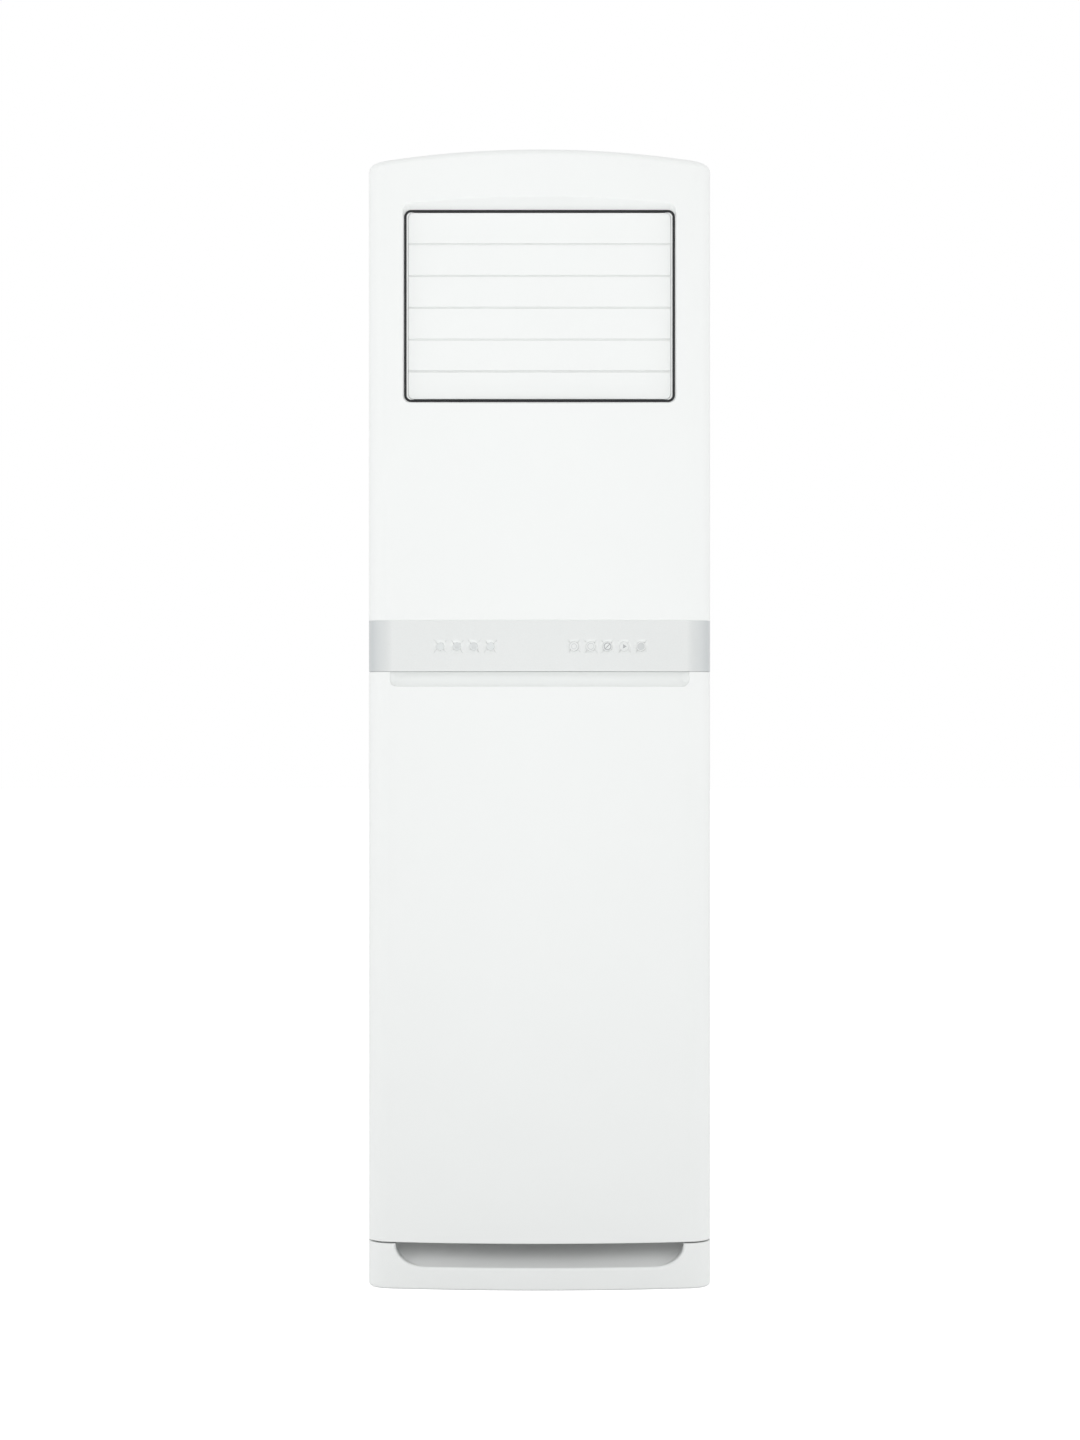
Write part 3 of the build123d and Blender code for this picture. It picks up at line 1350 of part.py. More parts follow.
screw_rows = 5
screw_margin = 30.0
screw_run = side_top_z - plinth_height - 2 * screw_margin
with BuildPart() as case_screws:
    with BuildSketch(front_view(back_y)):
        with Locations((0, (plinth_height + side_top_z) / 2)):
            with GridLocations(case_width - flange - 2, screw_run / (screw_rows - 1), 2, screw_rows):
                Circle(screw_head_radius)
    extrude(amount=screw_head_height)
    with BuildSketch(front_view(box_y0 - box_wall)):
        with Locations((0, box_mid_z)):
            with GridLocations(2 * box_half - 16, box_height - 16, 2, 2):
                Circle(screw_head_radius)
    extrude(amount=screw_head_height)
save(case_screws.part, "case_screws")
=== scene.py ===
"""Floor standing air conditioner: the seen surfaces, finishes, studio light and camera, in metres."""

from dataclasses import dataclass, field
from enum import Enum
import logging
from math import asin, cos, hypot, pi, radians, sin, sqrt
from typing import Callable, Iterable, Sequence

import bmesh
import bpy
from mathutils import Matrix, Vector


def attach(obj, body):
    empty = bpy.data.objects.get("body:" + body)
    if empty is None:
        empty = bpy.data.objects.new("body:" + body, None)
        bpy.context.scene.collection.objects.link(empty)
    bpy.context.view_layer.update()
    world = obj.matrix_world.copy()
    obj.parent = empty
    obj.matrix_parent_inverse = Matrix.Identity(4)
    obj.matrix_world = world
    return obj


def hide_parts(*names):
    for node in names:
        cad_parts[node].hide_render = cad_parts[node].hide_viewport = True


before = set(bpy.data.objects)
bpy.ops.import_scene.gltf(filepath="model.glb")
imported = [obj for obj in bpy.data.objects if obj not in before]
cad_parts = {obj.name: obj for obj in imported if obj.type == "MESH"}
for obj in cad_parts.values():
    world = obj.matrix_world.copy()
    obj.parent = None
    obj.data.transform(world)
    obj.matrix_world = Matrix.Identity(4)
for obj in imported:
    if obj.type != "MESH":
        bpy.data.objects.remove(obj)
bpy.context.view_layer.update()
log = logging.getLogger("air_conditioner")
MM = 0.001
TINY = 1e-6  # metres within which two places count as the same
FINE = 1e-5  # the same after a sheet has been wrapped
MIX_COLOUR = 2  # place of the colour among a Mix node's results
WAVE_TURN = 20.0  # radians that Blender's wave texture turns through in one unit
LOUVERS = 6
VANES = 7


# ---------------------------------------------------------------- finishes
class Pattern(Enum):
    """How a surface was made, which decides what its texture is."""

    MOULDED = "fine spark eroded grain of a moulding tool"
    POWDER = "orange peel of baked powder coat"
    FLAKE = "metal flakes under a clear paint"
    ROLLED = "long scratches of rolled or drawn metal"
    SPANGLE = "zinc crystals of a hot dip"
    BEADS = "fused beads of foam"
    STACK = "stacked thin sheets"
    NET = "woven net"
    TRACKS = "tracks under solder mask"
    RINGS = "ribs round a flexible tube"


def linear(code: str) -> tuple[float, float, float, float]:
    """Turn an sRGB hex colour into linear light.

    Args:
        code: six hex digits after a hash sign.

    Returns:
        Red, green and blue in linear light, and full opacity.
    """
    parts = [int(code[k:k + 2], 16) / 255 for k in (1, 3, 5)]
    return tuple(v / 12.92 if v <= 0.04045 else ((v + 0.055) / 1.055) ** 2.4 for v in parts) + (1.0,)


def node(tree: bpy.types.NodeTree, kind: str, settings: dict | None = None,
         **sockets: object) -> bpy.types.Node:
    """Add one shader node with its settings and links.

    Args:
        tree: the material's node tree.
        kind: the node's type name, without its ShaderNode prefix.
        settings: properties of the node.
        sockets: inputs by name, with underscores for spaces; a socket is linked and a value is set.

    Returns:
        The new node.
    """
    made = tree.nodes.new("ShaderNode" + kind)
    for name, value in (settings or {}).items():
        setattr(made, name, value)
    for name, value in sockets.items():
        wanted = name.replace("_", " ")
        socket = next(s for s in made.inputs if s.name == wanted and s.enabled and not s.is_linked)
        if isinstance(value, bpy.types.NodeSocket):
            tree.links.new(value, socket)
        else:
            socket.default_value = value
    return made


@dataclass(frozen=True)
class Finish:
    """A real material and the texture that its making leaves.

    Its colour runs from base to shade with the texture. A painted shade is a darker colour that the paint is
    painted to between two distances from the middle of the case, standing in for shade where it bends away.
    """

    name: str
    base: str
    shade: str
    pattern: Pattern
    grain_mm: float
    roughness: float
    roughness_spread: float = 0.05
    metallic: float = 0.0
    ior: float = 1.5
    relief_mm: float = 0.01
    coat: float = 0.0
    # Painted shade: the darker colour painted towards the sides, and the distances where it starts and is
    # full.
    painted_shade: str = ""
    painted_shade_start: float = 0.214
    painted_shade_end: float = 0.244
    broad_per_metre: float = 9.0
    broad_share: float = 0.35
    drawn_stretch: float = 0.04

    def height(self, tree: bpy.types.NodeTree, place: bpy.types.NodeSocket) -> bpy.types.NodeSocket:
        """Build the texture of the pattern.

        Args:
            tree: the material's node tree.
            place: object coordinates in metres.

        Returns:
            A socket from 0 to 1 that drives relief, colour and roughness.
        """
        per_metre = 1000 / self.grain_mm
        if self.pattern is Pattern.ROLLED:
            drawn = node(tree, "Mapping", Vector=place, Scale=(1.0, self.drawn_stretch, 1.0))
            scratches = node(tree, "TexNoise", Vector=drawn.outputs["Vector"], Scale=per_metre, Detail=2.0)
            return scratches.outputs["Fac"]
        if self.pattern in (Pattern.SPANGLE, Pattern.BEADS, Pattern.FLAKE):
            cells = node(tree, "TexVoronoi", Vector=place, Scale=per_metre)
            if self.pattern is Pattern.BEADS:
                domes = node(tree, "MapRange", Value=cells.outputs["Distance"], To_Min=1.0, To_Max=0.0)
                return domes.outputs["Result"]
            return node(tree, "SeparateColor", Color=cells.outputs["Color"]).outputs["Red"]
        wave = per_metre / WAVE_TURN  # a grain is one radian of the wave, so a whole band is six grains wide
        if self.pattern in (Pattern.STACK, Pattern.RINGS):
            axis = "X" if self.pattern is Pattern.STACK else "Z"
            return node(tree, "TexWave", {"bands_direction": axis}, Vector=place, Scale=wave).outputs["Fac"]
        if self.pattern in (Pattern.NET, Pattern.TRACKS):
            across = node(tree, "TexWave", {"bands_direction": "X"}, Vector=place, Scale=wave)
            # Tracks stand above a flat ground, at the node's own second value, and threads cross each other.
            higher = node(tree, "Math", {"operation": "MAXIMUM"}, Value=across.outputs["Fac"])
            if self.pattern is Pattern.NET:
                along = node(tree, "TexWave", {"bands_direction": "Z"}, Vector=place, Scale=wave)
                tree.links.new(along.outputs["Fac"], higher.inputs[1])
            return higher.outputs["Value"]
        return node(tree, "TexNoise", Vector=place, Scale=per_metre, Detail=3.0, Roughness=0.6).outputs["Fac"]

    def build(self) -> bpy.types.Material:
        """Make the material once and return it on later calls.

        Returns:
            The node material of this finish.
        """
        if self.name in bpy.data.materials:
            return bpy.data.materials[self.name]
        material = bpy.data.materials.new(self.name)
        material.use_nodes = True
        tree = material.node_tree
        tree.nodes.clear()
        place = node(tree, "TexCoord").outputs["Object"]
        fine = self.height(tree, place)
        broad = node(tree, "TexNoise", Vector=place, Scale=self.broad_per_metre, Detail=1.0).outputs["Fac"]
        both = node(tree, "Mix", {"data_type": "FLOAT"}, Factor=self.broad_share, A=fine, B=broad).outputs[0]
        mixed = node(tree, "Mix", {"data_type": "RGBA"}, Factor=both, A=linear(self.base),
                     B=linear(self.shade))
        colour = mixed.outputs[MIX_COLOUR]
        # Painted shade: the colour darkens with distance from the middle, standing in for the shade where the
        # band bends away.
        if self.painted_shade:
            across = node(tree, "SeparateXYZ", Vector=place).outputs["X"]
            aside = node(tree, "Math", {"operation": "ABSOLUTE"}, Value=across).outputs["Value"]
            turned = node(tree, "MapRange", Value=aside, From_Min=self.painted_shade_start, From_Max=self.painted_shade_end)
            ends = node(tree, "Mix", {"data_type": "RGBA"}, Factor=turned.outputs["Result"], A=colour,
                        B=linear(self.painted_shade))
            colour = ends.outputs[MIX_COLOUR]
        rough = node(tree, "MapRange", Value=both, To_Min=self.roughness - self.roughness_spread,
                     To_Max=self.roughness + self.roughness_spread)
        relief = node(tree, "Bump", Height=fine, Strength=1.0, Distance=self.relief_mm * MM)
        shader = node(tree, "BsdfPrincipled", Base_Color=colour, Roughness=rough.outputs["Result"],
                      Normal=relief.outputs["Normal"], Metallic=self.metallic, IOR=self.ior,
                      Coat_Weight=self.coat)
        node(tree, "OutputMaterial", Surface=shader.outputs["BSDF"])
        return material


# The grain of a moulded skin and the flakes of a paint are a tenth of a millimetre or less on the real thing.
# They are drawn five to ten times as coarse, so that they show as a slight unevenness.
# Injection moulded ABS: an even cool white with a satin skin, so lights stay broad and soft.
WHITE_ABS = Finish("white_abs_moulded", "#F3F5F4", "#EFF1F0", Pattern.MOULDED, 0.6, 0.42, ior=1.54)
# Powder coated steel: the same white with a slight orange peel that breaks up reflections.
WHITE_STEEL = Finish("white_powder_coated_steel", "#F1F3F2", "#ECEEED", Pattern.POWDER, 1.6, 0.36,
                     relief_mm=0.02)
# Silver paint on ABS: bright flakes under clear lacquer. Towards the sides, where the band bends round, its
# colour is painted greyer: painted shade that stands in for the shade there and for a metallic paint's
# darkening seen aslant.
SILVER_PAINT = Finish("silver_painted_abs", "#FAFCFB", "#F2F5F4", Pattern.FLAKE, 0.5, 0.40, metallic=0.45,
                      relief_mm=0.004, coat=0.2, painted_shade="#D0D4D5")
# The same paint on the keys, a touch glossier and with no bend.
KEY_PAINT = Finish("silver_painted_keys", "#FAFCFB", "#F2F5F4", Pattern.FLAKE, 0.5, 0.38, metallic=0.45,
                   relief_mm=0.004, coat=0.3)
# Tinted polycarbonate: a smooth pale grey with a clear highlight.
LENS = Finish("grey_lens_polycarbonate", "#E6EAE9", "#DDE1E1", Pattern.MOULDED, 0.8, 0.22, ior=1.58, coat=0.5)
# Dark ABS, of the ring, the vanes and the links: near black with a dull grain.
DARK_ABS = Finish("dark_trim_abs", "#2A2B2E", "#222326", Pattern.MOULDED, 0.7, 0.5)
DARK_PLASTIC = Finish("dark_grey_abs_moulded", "#3A3B3D", "#323335", Pattern.MOULDED, 0.8, 0.5)
# Hot dip galvanised sheet: a patchwork of crystals, each of its own grey.
GALVANISED = Finish("galvanised_sheet", "#C9CCCE", "#B4B8BB", Pattern.SPANGLE, 11.0, 0.36, 0.08, metallic=1.0)
# Zinc plated steel: a plain bright grey with the marks of rolling.
ZINC = Finish("zinc_plated_steel", "#C6C8CA", "#AEB1B4", Pattern.ROLLED, 0.9, 0.34, 0.08, metallic=1.0)
# Expanded polystyrene: matt white beads, pressed together.
FOAM = Finish("polystyrene_foam_beads", "#EDEEEF", "#DCDEE0", Pattern.BEADS, 3.5, 0.78, relief_mm=0.25)
# Aluminium fins on edge: light and dark lines, drawn six times as far apart as real fins so that they show.
FINS = Finish("aluminium_fin_stack", "#D5D8DA", "#8F9498", Pattern.STACK, 1.8, 0.32, metallic=1.0,
              relief_mm=0.5)
# Drawn copper: a warm red metal with faint long scratches.
COPPER = Finish("drawn_copper_tube", "#C8835F", "#B5704D", Pattern.ROLLED, 1.2, 0.3, 0.08, metallic=1.0)
# Forged brass: a yellow metal with the dull skin of the forging.
BRASS = Finish("forged_brass", "#C9A45A", "#B38E48", Pattern.POWDER, 1.5, 0.34, metallic=1.0)
# Glass filled polypropylene: a dark grey with a rough, dry skin.
BLOWER = Finish("glass_filled_polypropylene", "#3A3B3D", "#2F3032", Pattern.MOULDED, 1.2, 0.55)
# Stove enamel on the motor: mid grey with a little orange peel.
MOTOR = Finish("painted_motor_shell", "#5C5E60", "#505254", Pattern.POWDER, 1.8, 0.42, relief_mm=0.02)
# Woven polypropylene net: crossing threads, drawn six times as far apart as real ones so that they show.
NET = Finish("filter_net", "#6E747A", "#4C5156", Pattern.NET, 1.4, 0.6, relief_mm=0.3)
# Solder mask over copper: green, with tracks that stand out a little, also drawn wider than real ones.
BOARD = Finish("circuit_board_mask", "#1F5A38", "#2B6E47", Pattern.TRACKS, 2.0, 0.35, relief_mm=0.03,
               coat=0.4)
# Phenolic moulding: an opaque cream with little shine.
CREAM = Finish("cream_phenolic_moulding", "#D6D0BC", "#CBC4AE", Pattern.MOULDED, 0.9, 0.5)
# Moulded rubber: a black that takes up light.
RUBBER = Finish("black_rubber", "#232323", "#1B1B1B", Pattern.MOULDED, 0.9, 0.7, relief_mm=0.03)
# Ribbed PVC hose: grey, with rings that catch the light, drawn four times as far apart as real ones.
HOSE = Finish("grey_ribbed_hose", "#8A8C8E", "#6F7173", Pattern.RINGS, 3.0, 0.55, relief_mm=0.8)
# Nylon case of the magnets: a plain dull black.
MAGNET = Finish("black_magnet_case", "#26272A", "#1F2022", Pattern.MOULDED, 0.8, 0.5)
# Pad printed inks: matt greys, hardly darker than what they are printed on.
INK_LINE = Finish("grey_line_print", "#B9BCBD", "#B0B3B4", Pattern.MOULDED, 0.5, 0.5)
INK_DOT = Finish("grey_dot_print", "#D2D5D5", "#CBCECE", Pattern.MOULDED, 0.5, 0.5)
INK_LAMP = Finish("light_grey_lamp_print", "#D9DCDC", "#D3D6D6", Pattern.MOULDED, 0.5, 0.5)
INK_FAINT = Finish("faint_grey_print", "#DADDDD", "#D4D7D7", Pattern.MOULDED, 0.5, 0.5)
PALE_FLOOR = Finish("pale_matt_floor", "#F6F6F6", "#F3F3F3", Pattern.MOULDED, 3.0, 0.9, relief_mm=0.0)

CARRIED: dict[Finish, tuple[str, ...]] = {
    WHITE_STEEL: ("base_pan", "back_panel"),
    WHITE_ABS: ("louver_frame",),
    DARK_PLASTIC: ("louver_link", "vane_link", *(f"vane_{k}" for k in range(1, VANES + 1))),
    GALVANISED: ("front_frame", "fan_deck", "volute", "inlet_plate", "motor_bracket", "electrical_box",
                 "electrical_cover"),
    ZINC: ("catch_keepers", "hinge_brackets", "louver_motor", "vane_motor", "motor_shaft", "case_screws"),
    FOAM: ("outlet_duct", "drain_pan"),
    FINS: ("coil_fins",),
    COPPER: ("coil_tubes", "gas_pipe", "liquid_pipe"),
    BRASS: ("pipe_unions",),
    BLOWER: ("fan_wheel",),
    MOTOR: ("fan_motor",),
    NET: ("air_filter",),
    BOARD: ("display_board",),
    CREAM: ("terminal_block",),
    RUBBER: ("pipe_grommet",),
    HOSE: ("drain_hose",),
    MAGNET: ("catch_magnets",),
}


# ---------------------------------------------------------------- placing and finishing meshes
@dataclass(frozen=True)
class CasePlan:
    """Plan of the moulded front: a shallow bow, a rolled corner and a straight return on each side."""

    half_width: float = 0.250
    front_y: float = -0.155
    seam_y: float = -0.045
    bow_radius: float = 1.5
    corner_radius: float = 0.035
    case_top: float = 1.655
    crown_radius: float = 1.917

    @property
    def bow_centre_y(self) -> float:
        """Y of the bow's centre."""
        return self.front_y + self.bow_radius

    @property
    def corner_x(self) -> float:
        """X of the corner roll's centre."""
        return self.half_width - self.corner_radius

    @property
    def corner_y(self) -> float:
        """Y of the corner roll's centre."""
        return self.bow_centre_y - sqrt((self.bow_radius - self.corner_radius) ** 2 - self.corner_x**2)

    @property
    def turn(self) -> float:
        """Angle of the bow where the corner roll starts."""
        return asin(self.corner_x / (self.bow_radius - self.corner_radius))

    @property
    def bow_run(self) -> float:
        """Length along the surface from the middle to the corner roll."""
        return self.bow_radius * self.turn

    @property
    def corner_run(self) -> float:
        """Length along the surface from the middle to the end of the corner roll."""
        return self.bow_run + self.corner_radius * (pi / 2 - self.turn)

    def full_run(self, rear_y: float) -> float:
        """Length along the surface from the middle to a rear edge."""
        return self.corner_run + rear_y - self.corner_y

    def run_at(self, x: float) -> float:
        """Length along the bow to a distance x from the middle."""
        return self.bow_radius * asin(x / self.bow_radius)

    def bow_y(self, x: float) -> float:
        """Y of the bowed surface at a distance x from the middle."""
        return self.bow_centre_y - sqrt(self.bow_radius**2 - x**2)

    def crown_z(self, x: float) -> float:
        """Height of the arched top at a distance x from the middle."""
        return self.case_top - self.crown_radius + sqrt(self.crown_radius**2 - x**2)

    def place(self, run: float, depth: float, height: float) -> Vector:
        """Put a flat point round the front.

        Args:
            run: length along the surface from the middle, positive to the right.
            depth: distance behind the surface.
            height: height above the floor.

        Returns:
            The point in the shared frame.
        """
        if run <= self.bow_run:
            angle, centre, reach = run / self.bow_radius, Vector((0, self.bow_centre_y)), self.bow_radius
        elif run <= self.corner_run:
            angle = self.turn + (run - self.bow_run) / self.corner_radius
            centre, reach = Vector((self.corner_x, self.corner_y)), self.corner_radius
        else:
            return Vector((self.half_width - depth, self.corner_y + run - self.corner_run, height))
        reach -= depth
        return Vector((centre.x + reach * sin(angle), centre.y - reach * cos(angle), height))


PLAN = CasePlan()
FRONT = Vector((0, -1, 0))


def spread(start: float, end: float, count: int) -> list[float]:
    """Split a length evenly and return the places between its ends."""
    return [start + (end - start) * k / count for k in range(1, count)]


def rounded(mesh: bmesh.types.BMesh, geometry: Sequence[bmesh.types.BMVert | bmesh.types.BMEdge],
            radius: float, segments: int, affect: str = "EDGES") -> None:
    """Round edges, or the corners of an outline.

    Args:
        mesh: the mesh that they are in.
        geometry: the edges or corners.
        radius: distance from the sharp edge at which the rounding starts.
        segments: flat strips in the rounding.
        affect: EDGES or VERTICES.
    """
    bmesh.ops.bevel(mesh, geom=geometry, offset=radius, offset_type="OFFSET", segments=segments, profile=0.5,
                    affect=affect, material=-1)


def flush(mesh: bmesh.types.BMesh, outward: Vector) -> None:
    """Merge doubles and turn the faces so that the one furthest along a direction looks that way.

    Args:
        mesh: the mesh to put right.
        outward: direction that its furthest face must look along.
    """
    bmesh.ops.remove_doubles(mesh, verts=mesh.verts, dist=FINE)
    bmesh.ops.recalc_face_normals(mesh, faces=mesh.faces)
    # Among faces about as far out, the one that is squarest to the direction tells most surely.
    square_weight = 0.2
    lead = max(mesh.faces, key=lambda face: face.calc_center_median().dot(outward)
               + square_weight * abs(face.normal.dot(outward)))
    if lead.normal.dot(outward) < 0:
        bmesh.ops.reverse_faces(mesh, faces=mesh.faces)


@dataclass
class Dresser:
    """Turns a finished mesh into a piece with its finish, body and node."""

    smooth_angle: float = radians(32)
    edge_angle: float = radians(50)
    edge_segments: int = 2
    even_weight: int = 80

    def piece(self, mesh: bmesh.types.BMesh, name: str, finish: Finish, body: str,
              replaced: Sequence[str] = (), wall: float = 0.0, edge: float = 0.0) -> bpy.types.Object:
        """Make an object of a mesh and fasten it to its body.

        Args:
            mesh: the finished mesh, which is freed.
            name: the piece's name.
            finish: the piece's material.
            body: the CAD body that it rides on.
            replaced: CAD nodes that it stands for.
            wall: thickness given inwards, or 0 for a closed mesh.
            edge: width of the rounding on sharp edges, or 0 for none.

        Returns:
            The new object.
        """
        data = bpy.data.meshes.new(name)
        for face in mesh.faces:
            face.smooth = True
        for rim in mesh.edges:
            if rim.is_manifold and rim.calc_face_angle(0) > self.smooth_angle:
                rim.smooth = False
        mesh.to_mesh(data)
        mesh.free()
        made = bpy.data.objects.new(name, data)
        bpy.context.scene.collection.objects.link(made)
        if wall:
            shell = made.modifiers.new("wall", "SOLIDIFY")
            shell.thickness, shell.offset, shell.use_even_offset = wall, -1.0, True
        if edge:
            rounding = made.modifiers.new("edges", "BEVEL")
            rounding.width, rounding.segments, rounding.limit_method = edge, self.edge_segments, "ANGLE"
            rounding.angle_limit, rounding.harden_normals = self.edge_angle, True
            rounding.use_clamp_overlap = True
        even = made.modifiers.new("even_shading", "WEIGHTED_NORMAL")
        even.mode, even.weight, even.keep_sharp = "FACE_AREA", self.even_weight, True
        data.materials.append(finish.build())
        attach(made, body)
        if replaced:
            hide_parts(*replaced)
        log.info("%s: %d faces, %s, on %s", name, len(data.polygons), finish.name, body)
        return made


DRESSER = Dresser()


@dataclass
class FlatSheet:
    """Right half of a moulded sheet, drawn flat as run, depth and height, then wrapped round the front."""

    plan: CasePlan = PLAN
    mesh: bmesh.types.BMesh = field(default_factory=bmesh.new)
    corner_strips: int = 16

    def corner(self, run: float, height: float) -> bmesh.types.BMVert:
        """Add one corner of an outline."""
        return self.mesh.verts.new((run, 0, height))

    def face(self, corners: Sequence[bmesh.types.BMVert]) -> bmesh.types.BMFace:
        """Close an outline."""
        return self.mesh.faces.new(corners)

    def round(self, corner: bmesh.types.BMVert, radius: float, segments: int = 8) -> None:
        """Round one corner of the outline in its own plane."""
        rounded(self.mesh, [corner], radius, segments, "VERTICES")

    def nearest(self, place: Vector) -> bmesh.types.BMVert:
        """Find the corner nearest to a place, after an operator has made the corners anew."""
        return min(self.mesh.verts, key=lambda v: (v.co - place).length)

    def plate(self, half: float, low: float, high: float, y: float, radius: float) -> bmesh.types.BMFace:
        """Add an upright plate with rounded corners, the sheet's only face.

        Args:
            half: half of its width.
            low: height of its lower edge.
            high: height of its upper edge.
            y: its place in depth.
            radius: radius of its corners.

        Returns:
            The plate.
        """
        points = [(-half, low), (half, low), (half, high), (-half, high)]
        corners = [self.mesh.verts.new((x, y, z)) for x, z in points]
        self.face(corners)
        rounded(self.mesh, corners, radius, 10, "VERTICES")
        return next(iter(self.mesh.faces))

    def cut(self, direction: tuple[float, float, float], places: Iterable[float],
            where: Callable[[bmesh.types.BMFace], bool] = lambda face: True) -> None:
        """Divide the sheet along straight lines.

        Args:
            direction: normal of the cuts.
            places: distances of the cuts along it.
            where: test of the faces that are cut.
        """
        for place in places:
            faces = [f for f in self.mesh.faces if where(f)]
            geometry = list(dict.fromkeys(g for f in faces for g in (*f.edges, *f.verts))) + faces
            bmesh.ops.bisect_plane(self.mesh, geom=geometry, dist=TINY, plane_co=Vector(direction) * place,
                                   plane_no=direction)

    def columns(self, bow_step: float = 0.010) -> None:
        """Divide the bow and the corner roll into narrow upright strips."""
        plan = self.plan
        count = round(plan.bow_run / bow_step)
        self.cut((1, 0, 0), spread(0, plan.bow_run, count) + [plan.bow_run])
        self.cut((1, 0, 0), spread(plan.bow_run, plan.corner_run, self.corner_strips) + [plan.corner_run])

    def rim(self, test: Callable[[Vector], bool]) -> list[bmesh.types.BMEdge]:
        """Open edges whose ends both pass a test."""
        return [e for e in self.mesh.edges if e.is_boundary and all(test(v.co) for v in e.verts)]

    def extend(self, edges: Sequence[bmesh.types.BMEdge],
               move: Callable[[Vector], Vector]) -> list[bmesh.types.BMEdge]:
        """Extrude open edges and move the new ones.

        Args:
            edges: edges to extrude.
            move: gives a new place from an old one.

        Returns:
            The new outer edges.
        """
        grown = bmesh.ops.extrude_edge_only(self.mesh, edges=edges)["geom"]
        fresh = {g for g in grown if isinstance(g, bmesh.types.BMVert)}
        for vertex in fresh:
            vertex.co = move(vertex.co)
        return [g for g in grown if isinstance(g, bmesh.types.BMEdge) and set(g.verts) <= fresh]

    def turn_in(self, level: float, way: int, radius: float, depth: float = 0.0,
                steps: int = 3) -> list[bmesh.types.BMEdge]:
        """Roll an open level edge backwards and run a flange on from it.

        Args:
            level: height at which the roll starts.
            way: 1 where the roll rises, -1 where it falls.
            radius: radius of the roll.
            depth: distance behind the surface at which the flange ends, or 0 for no flange.
            steps: flat strips in the roll.

        Returns:
            The open edges at the end.
        """
        ring = self.rim(lambda at: abs(at.z - level) < TINY)
        for step in range(steps):
            before, after = pi / 2 * step / steps, pi / 2 * (step + 1) / steps
            move = Vector((0, radius * (cos(before) - cos(after)), way * radius * (sin(after) - sin(before))))
            ring = self.extend(ring, lambda at: at + move)
        return self.extend(ring, lambda at: Vector((at.x, depth, at.z))) if depth else ring

    def wrap(self, lift: Callable[[Vector, Vector], float] = lambda flat, real: flat.z) -> None:
        """Wrap the sheet round the front.

        Args:
            lift: gives the real height from the flat point and its place round the front.
        """
        for vertex in self.mesh.verts:
            flat = vertex.co.copy()
            real = self.plan.place(*flat)
            real.z = lift(flat, real)
            vertex.co = real

    def cover(self, edges: Sequence[bmesh.types.BMEdge], rear_y: float) -> None:
        """Close the top of a wrapped sheet with a plate that runs back to its rear edge."""
        self.extend(edges, lambda at: Vector((at.x, rear_y, at.z)))
        bmesh.ops.remove_doubles(self.mesh, verts=self.mesh.verts, dist=2 * FINE)

    def mirror(self) -> None:
        """Mirror the right half to the left."""
        bmesh.ops.mirror(self.mesh, geom=self.mesh.verts[:] + self.mesh.edges[:] + self.mesh.faces[:],
                         axis="X", matrix=Matrix.Identity(4), merge_dist=FINE)

    def both_halves(self) -> None:
        """Mirror the right half to the left and point the faces outwards."""
        self.mirror()
        flush(self.mesh, FRONT)

    def thicken(self, depth: float) -> None:
        """Give a flat frame its depth, backwards."""
        flush(self.mesh, FRONT)
        grown = bmesh.ops.extrude_face_region(self.mesh, geom=self.mesh.faces[:])["geom"]
        moved = [g for g in grown if isinstance(g, bmesh.types.BMVert)]
        bmesh.ops.translate(self.mesh, vec=(0, depth, 0), verts=moved)
        bmesh.ops.recalc_face_normals(self.mesh, faces=self.mesh.faces)


